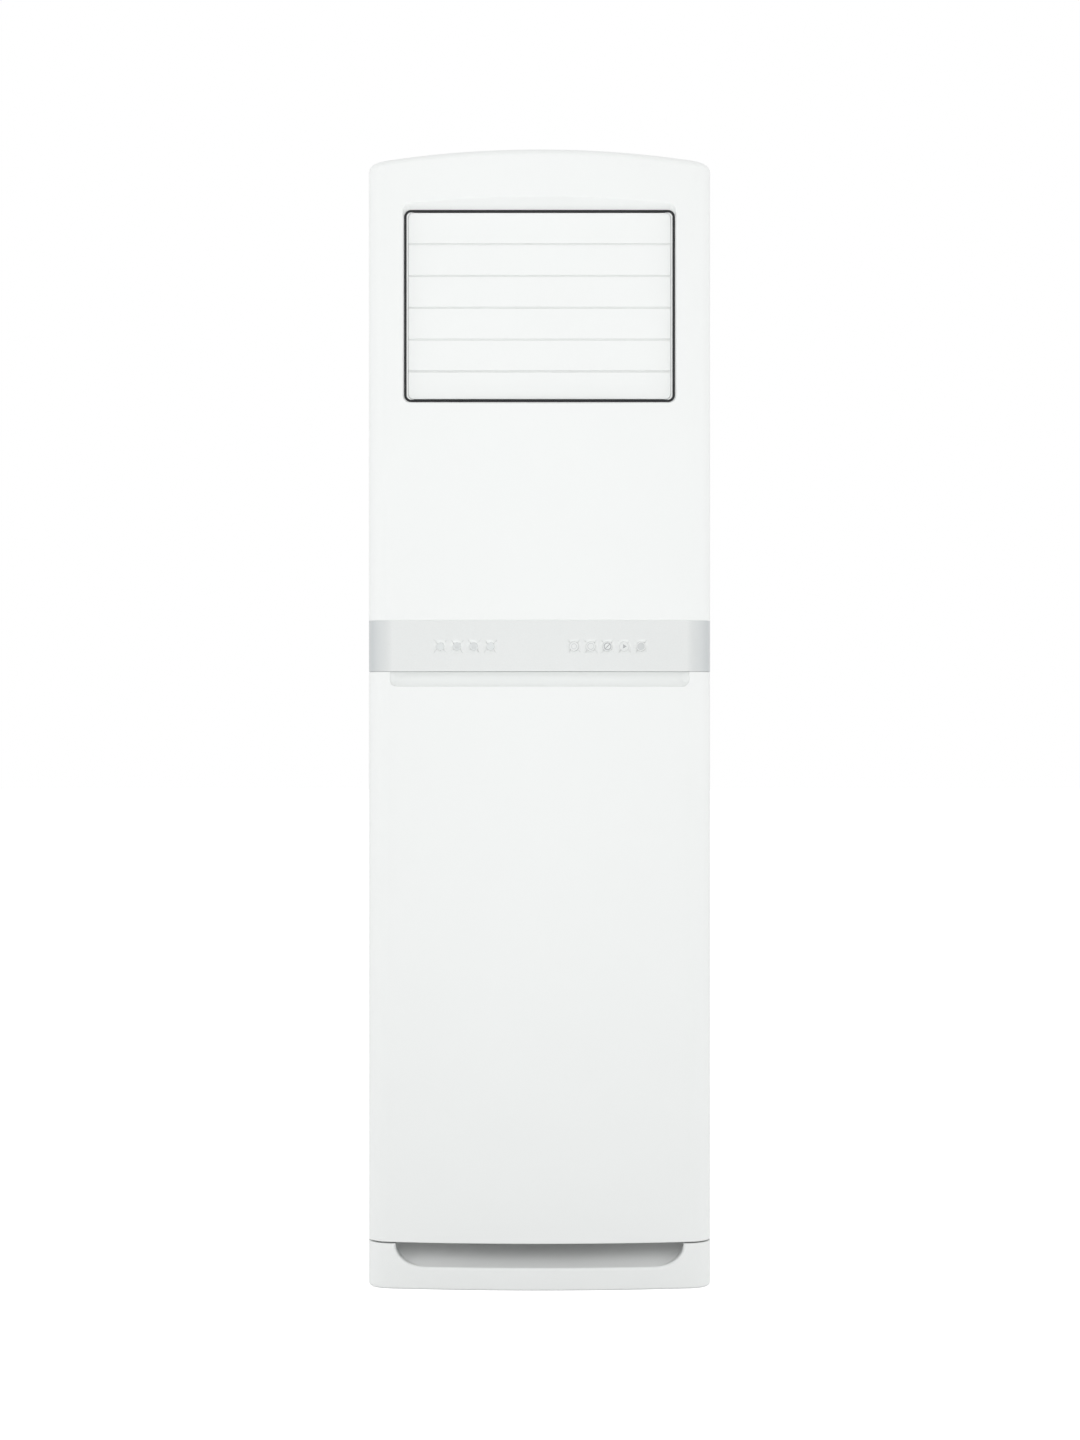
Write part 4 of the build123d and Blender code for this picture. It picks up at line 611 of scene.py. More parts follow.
# ---------------------------------------------------------------- front mouldings
@dataclass
class UpperFront:
    """Tall moulding with the air outlet's funnel and the rolled, arched top."""

    foot: float = 0.972
    roll: float = 0.010
    roll_rings: int = 7
    outlet_y: float = -0.1315
    trim_half: float = 0.1973
    trim_low: float = 1.2900
    trim_high: float = 1.5700
    trim_corner: float = 0.0103
    trim_back_y: float = -0.1280
    brow_slope: float = 0.66
    sill_slope: float = 0.17
    jamb_slope: float = 0.14
    mouth_edge: float = 0.0012
    foot_edge: float = 0.0003
    foot_flange: float = 0.008
    mouth_limit_y: float = -0.12
    fine_edge: float = 0.0006
    wall: float = 0.0025

    def reach(self, x: float) -> float:
        """Distance from the surface back to the trim ring."""
        return self.outlet_y - PLAN.bow_y(x)

    def build(self) -> bpy.types.Object:
        """Draw, wrap and dress the moulding.

        Returns:
            The finished piece.
        """
        sheet = FlatSheet()
        end = PLAN.full_run(PLAN.seam_y)
        eave = PLAN.crown_z(PLAN.half_width) - self.roll
        jamb_x = self.trim_half + self.jamb_slope * self.reach(self.trim_half)
        jamb = PLAN.run_at(jamb_x)
        high = self.trim_high + self.brow_slope * self.reach(jamb_x)
        low = self.trim_low - self.sill_slope * self.reach(jamb_x)
        foot = self.foot + self.foot_edge
        points = [(0, foot), (end, foot), (end, eave), (0, eave), (0, high), (jamb, high), (jamb, low),
                  (0, low)]
        corners = [sheet.corner(*point) for point in points]
        sheet.face(corners)
        sheet.round(corners[points.index((jamb, high))], self.trim_corner)
        sheet.round(sheet.nearest(Vector((jamb, 0, low))), self.trim_corner)
        sheet.columns()
        middle = (high + low) / 2
        for vertex in sheet.mesh.verts:
            at = vertex.co
            if at.x < jamb + TINY and foot + MM < at.z < eave - MM:
                more = self.reach(at.x) - self.reach(jamb_x)
                if at.z > middle:
                    at.z += self.brow_slope * more
                elif at.z < middle:
                    at.z -= self.sill_slope * more
        sheet.turn_in(foot, -1, self.foot_edge, self.foot_flange)
        ring = sheet.turn_in(eave, 1, self.roll, steps=self.roll_rings)
        sheet.wrap(lambda flat, real: flat.z if flat.z < eave - TINY
                   else flat.z - eave + PLAN.crown_z(real.x) - self.roll)
        top = [e for e in ring if min(v.co.y for v in e.verts) < PLAN.corner_y - FINE]
        sheet.cover(top, PLAN.seam_y)
        sheet.both_halves()
        self.funnel(sheet, middle, jamb_x)
        flush(sheet.mesh, FRONT)
        return DRESSER.piece(sheet.mesh, "upper_front_moulding", WHITE_ABS, "cabinet",
                             ("upper_front",), self.wall, self.fine_edge)

    def funnel(self, sheet: FlatSheet, middle: float, jamb_x: float) -> None:
        """Run the outlet's mouth back to the trim ring.

        Args:
            sheet: the wrapped moulding.
            middle: height of the mouth's middle.
            jamb_x: half width of the mouth.
        """
        mouth = sheet.rim(lambda at: at.z > (self.foot + self.trim_low) / 2 and at.y < self.mouth_limit_y
                          and abs(at.x) < jamb_x + MM)
        narrow = self.trim_half / jamb_x

        def to_trim(at: Vector) -> Vector:
            """Carry a point of the mouth down its slope to the trim ring."""
            gone = self.reach(at.x)
            slope = -self.brow_slope if at.z > middle else self.sill_slope
            return Vector((at.x * narrow, self.outlet_y, at.z + slope * gone))

        inner = sheet.extend(mouth, to_trim)
        sheet.extend(inner, lambda at: Vector((at.x, self.trim_back_y, at.z)))
        rounded(sheet.mesh, mouth, self.mouth_edge, segments=3)


@dataclass
class LowerPanel:
    """Tilting front panel with a finger scoop along its top and intake slots in its returns."""

    foot: float = 0.068
    head: float = 0.8971
    edge: float = 0.0016
    rear_y: float = -0.046
    scoop_half: float = 0.218
    scoop_floor: float = 0.8755
    scoop_corner: float = 0.010
    scoop_depth: float = 0.013
    bend_radius: float = 0.026
    bend_out: float = 0.01287
    bend_up: float = 0.02059
    flange: float = 0.014
    foot_flange: float = 0.006
    slot_width: float = 0.006
    slot_length: float = 0.130
    slot_pitch: float = 0.0105
    slot_row_pitch: float = 0.144
    slot_columns: int = 4
    slot_rows: int = 5
    slot_y: float = -0.072
    slot_z: float = 0.47225
    step_in: float = 0.0004
    wall: float = 0.0025

    def scoop(self, inside: float) -> float:
        """Depth of the scoop at a distance inside its outline."""
        if inside <= 0:
            return 0.0
        curve = sqrt(self.bend_radius**2 - min(0.0, inside - self.bend_up) ** 2) - self.bend_out
        start = min(1.0, inside / self.step_in)
        return start * min(self.scoop_depth, curve)

    def inside(self, at: Vector) -> float:
        """Distance of a flat point inside the scoop's outline."""
        half = PLAN.run_at(self.scoop_half)
        x, z = half - at.x, at.z - self.scoop_floor
        if x < self.scoop_corner and z < self.scoop_corner:
            return self.scoop_corner - hypot(self.scoop_corner - x, self.scoop_corner - z)
        return min(x, z)

    def build(self) -> bpy.types.Object:
        """Draw, wrap and dress the panel.

        Returns:
            The finished piece.
        """
        sheet = FlatSheet()
        end = PLAN.full_run(self.rear_y)
        half = PLAN.run_at(self.scoop_half)
        low, high = self.foot + self.edge, self.head - self.edge / 4
        points = [(0, low), (end, low), (end, high), (half, high), (half, self.scoop_floor),
                  (0, self.scoop_floor)]
        corners = [sheet.corner(*point) for point in points]
        sheet.face(corners)
        sheet.face([corners[5], corners[4], corners[3], sheet.corner(0, high)])
        sheet.round(corners[4], self.scoop_corner, segments=10)
        sheet.columns()

        def in_scoop(at: Vector) -> bool:
            """Whether a flat point is in the scoop."""
            return at.z > self.scoop_floor and at.x < half

        # Close cuts along the scoop's edge, where its back curves most.
        steps = [k * MM for k in (0.4, 0.9, 1.6, 2.6, 4.0, 6.0, 8.0, 10.0, 13.0, 16.0, 18.0)]
        for direction, places in (((1, 0, 0), [half - step for step in steps]),
                                  ((0, 0, 1), [self.scoop_floor + step for step in steps])):
            sheet.cut(direction, places, lambda f: in_scoop(f.calc_center_median()))
        self.slots(sheet, end)
        for vertex in sheet.mesh.verts:
            if in_scoop(vertex.co):
                vertex.co.y = self.scoop(self.inside(vertex.co))
        sheet.turn_in(low, -1, self.edge, self.wall + self.foot_flange)
        sheet.turn_in(high, 1, self.edge / 4, self.wall + self.flange)
        sheet.wrap()
        sheet.both_halves()
        return DRESSER.piece(sheet.mesh, "lower_front_panel", WHITE_ABS, "door",
                             ("lower_panel",), self.wall)

    def slots(self, sheet: FlatSheet, end: float) -> None:
        """Open the intake slots in the straight return.

        Args:
            sheet: the flat panel.
            end: run of the panel's rear edge.
        """
        start = end - self.rear_y + self.slot_y
        runs = [start + (k - (self.slot_columns - 1) / 2) * self.slot_pitch for k in range(self.slot_columns)]
        levels = [self.slot_z + (k - (self.slot_rows - 1) / 2) * self.slot_row_pitch
                  for k in range(self.slot_rows)]
        for direction, middles, size in (((1, 0, 0), runs, self.slot_width),
                                         ((0, 0, 1), levels, self.slot_length)):
            sheet.cut(direction, [middle + side * size / 2 for middle in middles for side in (-1, 1)],
                      lambda f: f.calc_center_median().x > PLAN.corner_run - TINY)

        def is_slot(at: Vector) -> bool:
            """Whether a face with this middle is a slot."""
            return any(abs(at.x - run) < 0.1 * MM for run in runs) and any(abs(at.z - z) < MM for z in levels)

        bmesh.ops.delete(sheet.mesh, geom=[f for f in sheet.mesh.faces if is_slot(f.calc_center_median())],
                         context="FACES")


@dataclass
class ControlBand:
    """Silver band with round openings for the keys and the indicator lenses."""

    foot: float = 0.8975
    head: float = 0.972
    level: float = 0.93375
    key_first: float = 0.050
    key_pitch: float = 0.0243
    keys: int = 5
    key_radius: float = 0.007
    lens_first: float = -0.144
    lenses: int = 4
    lens_radius: float = 0.006
    gap: float = 0.00012
    flange: float = 0.014
    wall: float = 0.0025
    cell: float = 0.0105
    edge: float = 0.0003
    hole_cuts: int = 9
    bow_strip: float = 0.01
    bow_strips: int = 21

    def openings(self) -> list[tuple[float, float]]:
        """Places of the round openings.

        Returns:
            The x and the radius of each opening.
        """
        rows = ((self.key_first, self.keys, self.key_radius + self.gap),
                (self.lens_first, self.lenses, self.lens_radius + self.gap / 2))
        return [(first + k * self.key_pitch, radius) for first, count, radius in rows for k in range(count)]

    def build(self) -> bpy.types.Object:
        """Draw the whole width, cut the openings, wrap and dress the band.

        Returns:
            The finished piece.
        """
        sheet = FlatSheet()
        end = PLAN.full_run(PLAN.seam_y)
        low, high = self.foot + self.edge, self.head - self.edge
        sheet.face([sheet.corner(*point) for point in ((0, low), (end, low), (end, high), (0, high))])
        sheet.cut((1, 0, 0), spread(PLAN.bow_run, PLAN.corner_run, sheet.corner_strips)
                  + [PLAN.bow_run, PLAN.corner_run])
        sheet.mirror()
        holes = [(self.run(x), radius) for x, radius in self.openings()]
        runs = [run for run, radius in holes]
        sheet.cut((1, 0, 0), sorted(edge for run in runs for edge in (run - self.cell, run + self.cell)))
        strips = [k * self.bow_strip for k in range(-self.bow_strips, self.bow_strips + 1)]
        sheet.cut((1, 0, 0), strips, lambda f: self.away(f, runs) > self.cell)
        for side in (-1, 1):
            sheet.cut((0, 0, 1), [self.level + side * self.cell], lambda f: self.away(f, runs) < 0.1 * MM)
        for run, radius in holes:
            self.pierce(sheet, run, radius)
        sheet.turn_in(low, -1, self.edge, self.wall + self.flange)
        sheet.turn_in(high, 1, self.edge, self.wall + self.flange)
        for vertex in sheet.mesh.verts:
            side = -1 if vertex.co.x < 0 else 1
            real = PLAN.place(abs(vertex.co.x), vertex.co.y, vertex.co.z)
            vertex.co = Vector((side * real.x, real.y, real.z))
        flush(sheet.mesh, FRONT)
        return DRESSER.piece(sheet.mesh, "control_band_moulding", SILVER_PAINT, "cabinet",
                             ("control_band",), self.wall)

    def run(self, x: float) -> float:
        """Signed length along the bow to a signed x."""
        return (1 if x > 0 else -1) * PLAN.run_at(abs(x))

    def away(self, f: bmesh.types.BMFace, runs: Sequence[float]) -> float:
        """Distance along the band from a face's middle to the nearest opening's."""
        return min(abs(f.calc_center_median().x - run) for run in runs)

    def pierce(self, sheet: FlatSheet, run: float, radius: float) -> None:
        """Replace a square cell by a plate with a round hole.

        Args:
            sheet: the flat band.
            run: place of the hole along the surface.
            radius: radius of the hole.
        """
        middle = Vector((run, 0, self.level))
        cell = min(sheet.mesh.faces, key=lambda f: (f.calc_center_median() - middle).length)
        bmesh.ops.subdivide_edges(sheet.mesh, edges=cell.edges[:], cuts=self.hole_cuts)
        cell = min(sheet.mesh.faces, key=lambda f: (f.calc_center_median() - middle).length)
        bmesh.ops.inset_individual(sheet.mesh, faces=[cell], thickness=self.cell - radius,
                                   use_even_offset=True)
        for vertex in cell.verts:
            vertex.co = middle + (vertex.co - middle).normalized() * radius
        bmesh.ops.delete(sheet.mesh, geom=[cell], context="FACES_ONLY")


@dataclass
class BaseSkirt:
    """Plinth moulding with a wide scoop under the lower panel."""

    head: float = 0.066
    scoop_half: float = 0.210
    scoop_floor: float = 0.0336
    scoop_side: float = 0.042
    scoop_rise: float = 0.0294
    lip_depth: float = 0.006
    back_depth: float = 0.061
    back_power: float = 0.75
    rim_radius: float = 0.005
    rim_steps: int = 5
    foot_roll: float = 0.004
    foot_steps: int = 4
    bow_end: float = 0.22
    far_back: float = 1.0
    back_rows: int = 16
    back_columns: int = 22
    back_behind: float = -0.105
    wall: float = 0.0025

    def back_y(self, x: float, height: float) -> float:
        """Y of the scoop's sloping back, which starts along the bow and ends straight."""
        part = max(0.0, height - self.scoop_floor) / (self.head - self.scoop_floor)
        near, far = PLAN.bow_y(min(abs(x), self.bow_end)) + self.lip_depth, PLAN.front_y + self.back_depth
        return near + (far - near) * part**self.back_power

    def build(self) -> bpy.types.Object:
        """Draw, wrap and dress the plinth moulding.

        Returns:
            The finished piece.
        """
        sheet = FlatSheet()
        end = PLAN.full_run(PLAN.seam_y)
        half = PLAN.run_at(self.scoop_half) + self.rim_radius
        floor = self.scoop_floor - self.rim_radius
        rise, side = self.scoop_rise + self.rim_radius, self.scoop_side + self.rim_radius
        points = [(0, self.foot_roll), (end, self.foot_roll), (end, self.head), (half, self.head),
                  (half, floor), (0, floor)]
        corners = [sheet.corner(*point) for point in points]
        sheet.face(corners)
        # The scoop's corner is a quarter of an ellipse: a round one, drawn while the sheet is squeezed.
        squeeze = rise / side
        bmesh.ops.scale(sheet.mesh, vec=(squeeze, 1, 1), verts=sheet.mesh.verts)
        sheet.round(corners[4], rise, segments=14)
        bmesh.ops.scale(sheet.mesh, vec=(1 / squeeze, 1, 1), verts=sheet.mesh.verts)
        sheet.columns()
        low, high = floor - TINY, self.head + TINY
        mouth = sheet.rim(lambda at: low < at.z < high and at.x < half + TINY)
        mouth = [e for e in mouth
                 if not all(abs(v.co.z - self.head) < TINY or v.co.x < TINY for v in e.verts)]
        inner = self.roll_rim(sheet, mouth, Vector((half - side, 0, floor + rise)), Vector((side, 0, rise)))
        # The scoop's back is drawn far behind the sheet, which tells its points from the rest.
        inner = sheet.extend(inner, lambda at: Vector((at.x, self.far_back, at.z)))
        crown = sheet.mesh.verts.new((0, self.far_back, self.head))
        outline = sorted({v for e in inner for v in e.verts}, key=lambda v: (v.co.x, v.co.z))
        sheet.face([crown] + outline)
        for direction, places in (((0, 0, 1), spread(self.scoop_floor, self.head, self.back_rows)),
                                  ((1, 0, 0), spread(0, PLAN.bow_run, self.back_columns))):
            sheet.cut(direction, places, lambda f: f.calc_center_median().y > self.far_back - MM)
        base = sheet.rim(lambda at: abs(at.z - self.foot_roll) < TINY)
        for step in range(1, self.foot_steps + 1):
            angle = pi / 2 * step / self.foot_steps
            depth, drop = self.foot_roll * (1 - cos(angle)), self.foot_roll * sin(angle)
            base = sheet.extend(base, lambda at: Vector((at.x, depth, self.foot_roll - drop)))
        behind = [v for v in sheet.mesh.verts if v.co.y > self.far_back - MM]
        for vertex in behind:
            vertex.co.y = 0.0
        sheet.wrap()
        for vertex in behind:
            vertex.co.y = self.back_y(vertex.co.x, vertex.co.z)
        top = []
        for e in sheet.rim(lambda at: abs(at.z - self.head) < TINY):
            near, far = sorted(v.co.y for v in e.verts)
            in_scoop = max(v.co.x for v in e.verts) < self.scoop_half + 0.1 * MM
            if near < PLAN.corner_y - FINE or far > self.back_behind and in_scoop:
                top.append(e)
        sheet.cover(top, PLAN.seam_y)
        sheet.both_halves()
        made = DRESSER.piece(sheet.mesh, "plinth_moulding", WHITE_ABS, "cabinet",
                             ("base_skirt",), self.wall)
        # Even thickness would throw a point of the sharp rear corner far away.
        made.modifiers["wall"].use_even_offset = False
        return made

    def roll_rim(self, sheet: FlatSheet, mouth: list[bmesh.types.BMEdge], centre: Vector,
                 arms: Vector) -> list[bmesh.types.BMEdge]:
        """Roll the scoop's edge inwards.

        Args:
            sheet: the flat drawing.
            mouth: the edges round the scoop.
            centre: the middle of the scoop's rounded corner.
            arms: the corner's reach along the run and in height.

        Returns:
            The inner edges of the roll.
        """
        turned = 0.0
        for step in range(1, self.rim_steps + 1):
            angle = pi / 2 * step / self.rim_steps
            shift, depth = self.rim_radius * sin(angle), self.rim_radius * (1 - cos(angle))
            across, up = (arms.x - shift) / (arms.x - turned), (arms.z - shift) / (arms.z - turned)
            mouth = sheet.extend(mouth, lambda at: Vector((
                centre.x + (at.x - centre.x) * (across if at.x > centre.x else 1), depth,
                centre.z + (at.z - centre.z) * (up if at.z < centre.z else 1))))
            turned = shift
        return mouth


@dataclass
class TopCap:
    """Arched moulding over the cabinet, rolled along both sides."""

    foot: float = 1.62463
    back_y: float = 0.155
    roll: float = 0.010
    strips: int = 24
    edge: float = 0.0008
    wall: float = 0.0025

    def build(self) -> bpy.types.Object:
        """Roll the profile, arch it and extrude it to the back.

        Returns:
            The finished piece.
        """
        sheet = FlatSheet()
        eave = PLAN.crown_z(PLAN.half_width)
        low = sheet.mesh.verts.new((PLAN.half_width, PLAN.seam_y, self.foot))
        bend = sheet.mesh.verts.new((PLAN.half_width, PLAN.seam_y, eave))
        middle = sheet.mesh.verts.new((0, PLAN.seam_y, eave))
        sheet.mesh.edges.new((low, bend))
        span = sheet.mesh.edges.new((bend, middle))
        bmesh.ops.subdivide_edges(sheet.mesh, edges=[span], cuts=self.strips)
        sheet.round(sheet.nearest(Vector((PLAN.half_width, PLAN.seam_y, eave))), self.roll, segments=7)
        for vertex in sheet.mesh.verts:
            if vertex.co.z > self.foot + TINY:
                vertex.co.z += PLAN.crown_z(vertex.co.x) - eave
        rear = sheet.extend(list(sheet.mesh.edges), lambda at: Vector((at.x, self.back_y, at.z)))
        sheet.extend(rear, lambda at: Vector((at.x, self.back_y, self.foot)))
        bmesh.ops.remove_doubles(sheet.mesh, verts=sheet.mesh.verts, dist=FINE)
        sheet.mirror()
        flush(sheet.mesh, Vector((0, 0, 1)))
        return DRESSER.piece(sheet.mesh, "top_cap_moulding", WHITE_ABS, "cabinet",
                             ("top_cap",), self.wall, self.edge)


@dataclass
class SidePanel:
    """Folded steel side of the cabinet, with both edges turned in."""

    side: int
    foot: float = 0.066
    head: float = 1.62463
    seam_y: float = -0.045
    back_y: float = 0.1520
    flange: float = 0.014
    fold: float = 0.0018
    sheet_thickness: float = 0.0012

    def build(self) -> bpy.types.Object:
        """Fold the strip in plan and extrude it upwards.

        Returns:
            The finished piece.
        """
        sheet = FlatSheet()
        reach = self.side * PLAN.half_width
        inner = self.side * (PLAN.half_width - self.flange)
        plan = [(inner, self.seam_y), (reach, self.seam_y), (reach, self.back_y), (inner, self.back_y)]
        corners = [sheet.mesh.verts.new((x, y, self.foot)) for x, y in plan]
        for first, second in zip(corners, corners[1:]):
            sheet.mesh.edges.new((first, second))
        for fold in [v.co.copy() for v in corners[1:3]]:
            sheet.round(sheet.nearest(fold), self.fold, segments=4)
        sheet.extend(list(sheet.mesh.edges), lambda at: Vector((at.x, at.y, self.head)))
        flush(sheet.mesh, Vector((self.side, 0, 0)))
        label = "right" if self.side > 0 else "left"
        return DRESSER.piece(sheet.mesh, f"side_sheet_{label}", WHITE_STEEL, "cabinet",
                             (f"side_panel_{label}",), self.sheet_thickness)


# ---------------------------------------------------------------- outlet
@dataclass
class OutletTrim:
    """Thin dark ring round the air outlet."""

    half_width: float = 0.197
    low: float = 1.2903
    high: float = 1.5697
    corner: float = 0.010
    line: float = 0.0033
    front_y: float = -0.1315
    depth: float = 0.0035
    edge: float = 0.0004

    def build(self) -> bpy.types.Object:
        """Inset a rounded plate, open it and give it depth.

        Returns:
            The finished piece.
        """
        sheet = FlatSheet()
        plate = sheet.plate(self.half_width, self.low, self.high, self.front_y, self.corner)
        bmesh.ops.inset_individual(sheet.mesh, faces=[plate], thickness=self.line, use_even_offset=True)
        bmesh.ops.delete(sheet.mesh, geom=[plate], context="FACES_ONLY")
        sheet.thicken(self.depth)
        return DRESSER.piece(sheet.mesh, "outlet_trim_ring", DARK_ABS, "cabinet",
                             ("outlet_trim",), edge=self.edge)


@dataclass
class OutletLip:
    """White edge of the louver frame between the dark ring and the ends of the louvers."""

    outer_half: float = 0.1936
    outer_low: float = 1.2937
    outer_high: float = 1.5663
    outer_corner: float = 0.0066
    inner_half: float = 0.19145
    inner_low: float = 1.29395
    inner_high: float = 1.56605
    inner_corner: float = 0.0081
    open_half: float = 0.183
    front_y: float = -0.1306
    depth: float = 0.0024

    def loop(self, sheet: FlatSheet, half: float, low: float, high: float,
             corner: float) -> list[bmesh.types.BMEdge]:
        """Draw one rounded outline.

        Args:
            sheet: the sheet that it is drawn in.
            half: half of its width.
            low: height of its lower edge.
            high: height of its upper edge.
            corner: radius of its corners.

        Returns:
            The outline's edges.
        """
        plate = sheet.plate(half, low, high, self.front_y, corner)
        edges = list(plate.edges)
        bmesh.ops.delete(sheet.mesh, geom=[plate], context="FACES_ONLY")
        return edges

    def build(self) -> bpy.types.Object:
        """Bridge the two outlines, leave the middles of the long sides open and give it depth.

        Returns:
            The finished piece.
        """
        sheet = FlatSheet()
        outer = self.loop(sheet, self.outer_half, self.outer_low, self.outer_high, self.outer_corner)
        inner = self.loop(sheet, self.inner_half, self.inner_low, self.inner_high, self.inner_corner)
        bmesh.ops.bridge_loops(sheet.mesh, edges=outer + inner)
        sheet.cut((1, 0, 0), [-self.open_half, self.open_half])
        between = [f for f in sheet.mesh.faces if abs(f.calc_center_median().x) < self.open_half]
        bmesh.ops.delete(sheet.mesh, geom=between, context="FACES")
        sheet.thicken(self.depth)
        return DRESSER.piece(sheet.mesh, "outlet_lip", WHITE_ABS, "cabinet")


@dataclass
class Louver:
    """One level louver: a board lapped over the next one, with its end lugs, pins and crank."""

    number: int
    top_line: float = 1.5664
    pitch: float = 0.0463
    foot_line: float = 1.2936
    gap: float = 0.0024
    lap: float = 0.0016
    lap_gap: float = 0.0006
    lip_depth: float = 0.0020
    end_reach: float = 0.0005
    half: float = 0.1911
    front_y: float = -0.131
    thickness: float = 0.006
    face_edge: float = 0.0009
    pivot_y: float = -0.1215
    lug_radius: float = 0.005
    pin_radius: float = 0.0025
    cheek: float = 0.1945
    crank_x: float = 0.1950
    crank_radius: float = 0.012
    crank_angle: float = radians(50)
    arm_width: float = 0.007
    arm_sheet: float = 0.003
    corner: float = 0.0078
    lug_length: float = 0.004
    pin_past_cheek: float = 0.001
    crank_pin_length: float = 0.0045
    crank_pin_radius: float = 0.002
    edge: float = 0.0002

    def pin(self, mesh: bmesh.types.BMesh, x0: float, x1: float, radius: float, y: float, z: float) -> None:
        """Add a round pin along X between two ends."""
        turn = Matrix.Translation(((x0 + x1) / 2, y, z)) @ Matrix.Rotation(pi / 2, 4, "Y")
        bmesh.ops.create_cone(mesh, cap_ends=True, segments=28, radius1=radius, radius2=radius,
                              depth=abs(x1 - x0), matrix=turn)

    def block(self, mesh: bmesh.types.BMesh, size: tuple[float, float, float],
              middle: tuple[float, float, float]) -> None:
        """Add a block by its size and middle."""
        made = bmesh.ops.create_cube(mesh, size=1)["verts"]
        bmesh.ops.scale(mesh, vec=size, verts=made)
        bmesh.ops.translate(mesh, vec=middle, verts=made)

    def grow(self, mesh: bmesh.types.BMesh, faces: list[bmesh.types.BMFace],
             move: tuple[float, float, float]) -> None:
        """Extrude faces and move the new ones."""
        grown = bmesh.ops.extrude_face_region(mesh, geom=faces)["geom"]
        bmesh.ops.translate(mesh, vec=move, verts=[g for g in grown if isinstance(g, bmesh.types.BMVert)])

    def board(self, mesh: bmesh.types.BMesh, top: float, foot: float, pivot_z: float) -> None:
        """Model the board with its rounded face, its rebate and its lip.

        Args:
            mesh: an empty mesh.
            top: height of the face's upper edge.
            foot: height of the face's lower edge.
            pivot_z: height of the louver's pivot.
        """
        lip_y = self.front_y + self.lip_depth
        groove_y, back_y = lip_y - self.lap_gap, self.front_y + self.thickness
        self.block(mesh, (2 * self.half, groove_y - self.front_y, top - foot),
                   (0, (self.front_y + groove_y) / 2, (top + foot) / 2))
        outer_side = {1: 1, LOUVERS: -1}.get(self.number, 0)
        if outer_side:
            outer = [e for e in mesh.edges if abs(e.verts[0].co.y - e.verts[1].co.y) > 0.1 * MM
                     and (e.verts[0].co.z - pivot_z) * outer_side > 0]
            rounded(mesh, outer, self.corner, segments=8)
        face_rim = [e for e in mesh.edges if all(v.co.y < self.front_y + FINE for v in e.verts)
                    and e.calc_face_angle(0) > 1]
        rounded(mesh, face_rim, self.face_edge, segments=5)
        floor = foot
        if self.number < LOUVERS:
            floor = foot + self.lap + self.lap_gap
            bmesh.ops.bisect_plane(mesh, geom=mesh.verts[:] + mesh.edges[:] + mesh.faces[:], dist=TINY,
                                   plane_co=(0, 0, floor), plane_no=(0, 0, 1))
        back = [f for f in mesh.faces if f.calc_center_median().y > groove_y - FINE
                and f.calc_center_median().z > floor]
        self.grow(mesh, back, (0, lip_y - groove_y, 0))
        back = [f for f in mesh.faces if f.calc_center_median().y > lip_y - FINE]
        self.grow(mesh, back, (0, back_y - lip_y, 0))
        if self.number > 1:
            crown = [f for f in mesh.faces if f.calc_center_median().z > top - FINE
                     and f.calc_center_median().y > lip_y + FINE]
            self.grow(mesh, crown, (0, 0, self.gap + self.lap))

    def build(self) -> bpy.types.Object:
        """Model the board and its fittings.

        Returns:
            The finished piece.
        """
        top = self.top_line - (self.number - 1) * self.pitch - self.gap / 2
        foot = max(self.top_line - self.number * self.pitch, self.foot_line) + self.gap / 2
        pivot_z = self.top_line - (self.number - 0.5) * self.pitch
        top += self.end_reach if self.number == 1 else 0
        foot -= self.end_reach if self.number == LOUVERS else 0
        mesh = bmesh.new()
        self.board(mesh, top, foot, pivot_z)
        for side in (-1, 1):
            inner, outer = side * (self.half - self.lug_length), side * self.half
            self.pin(mesh, inner, outer, self.lug_radius, self.pivot_y, pivot_z)
            self.block(mesh, (self.lug_length, self.lug_radius, 2 * self.lug_radius),
                       ((inner + outer) / 2, self.pivot_y - self.lug_radius / 2, pivot_z))
        self.pin(mesh, -self.cheek - self.pin_past_cheek, -self.half, self.pin_radius, self.pivot_y, pivot_z)
        self.pin(mesh, self.half, self.crank_x, self.pin_radius, self.pivot_y, pivot_z)
        self.crank(mesh, pivot_z)
        bmesh.ops.recalc_face_normals(mesh, faces=mesh.faces)
        return DRESSER.piece(mesh, f"louver_board_{self.number}", WHITE_ABS, f"louver_{self.number}_body",
                             (f"louver_{self.number}",), edge=self.edge)

    def crank(self, mesh: bmesh.types.BMesh, pivot_z: float) -> None:
        """Add the crank arm and its pin.

        Args:
            mesh: the louver's mesh.
            pivot_z: height of the louver's pivot.
        """
        y = self.pivot_y + self.crank_radius * cos(self.crank_angle)
        z = pivot_z + self.crank_radius * sin(self.crank_angle)
        ends = (self.crank_x, self.crank_x + self.arm_sheet)
        self.pin(mesh, *ends, self.arm_width / 2, self.pivot_y, pivot_z)
        self.pin(mesh, *ends, self.arm_width / 2, y, z)
        arm = bmesh.ops.create_cube(mesh, size=1)["verts"]
        bmesh.ops.scale(mesh, vec=(self.arm_sheet, self.crank_radius, self.arm_width), verts=arm)
        bmesh.ops.rotate(mesh, matrix=Matrix.Rotation(self.crank_angle, 3, "X"), verts=arm)
        bmesh.ops.translate(mesh, vec=(sum(ends) / 2, (self.pivot_y + y) / 2, (pivot_z + z) / 2), verts=arm)
        self.pin(mesh, ends[1], ends[1] + self.crank_pin_length, self.crank_pin_radius, y, z)


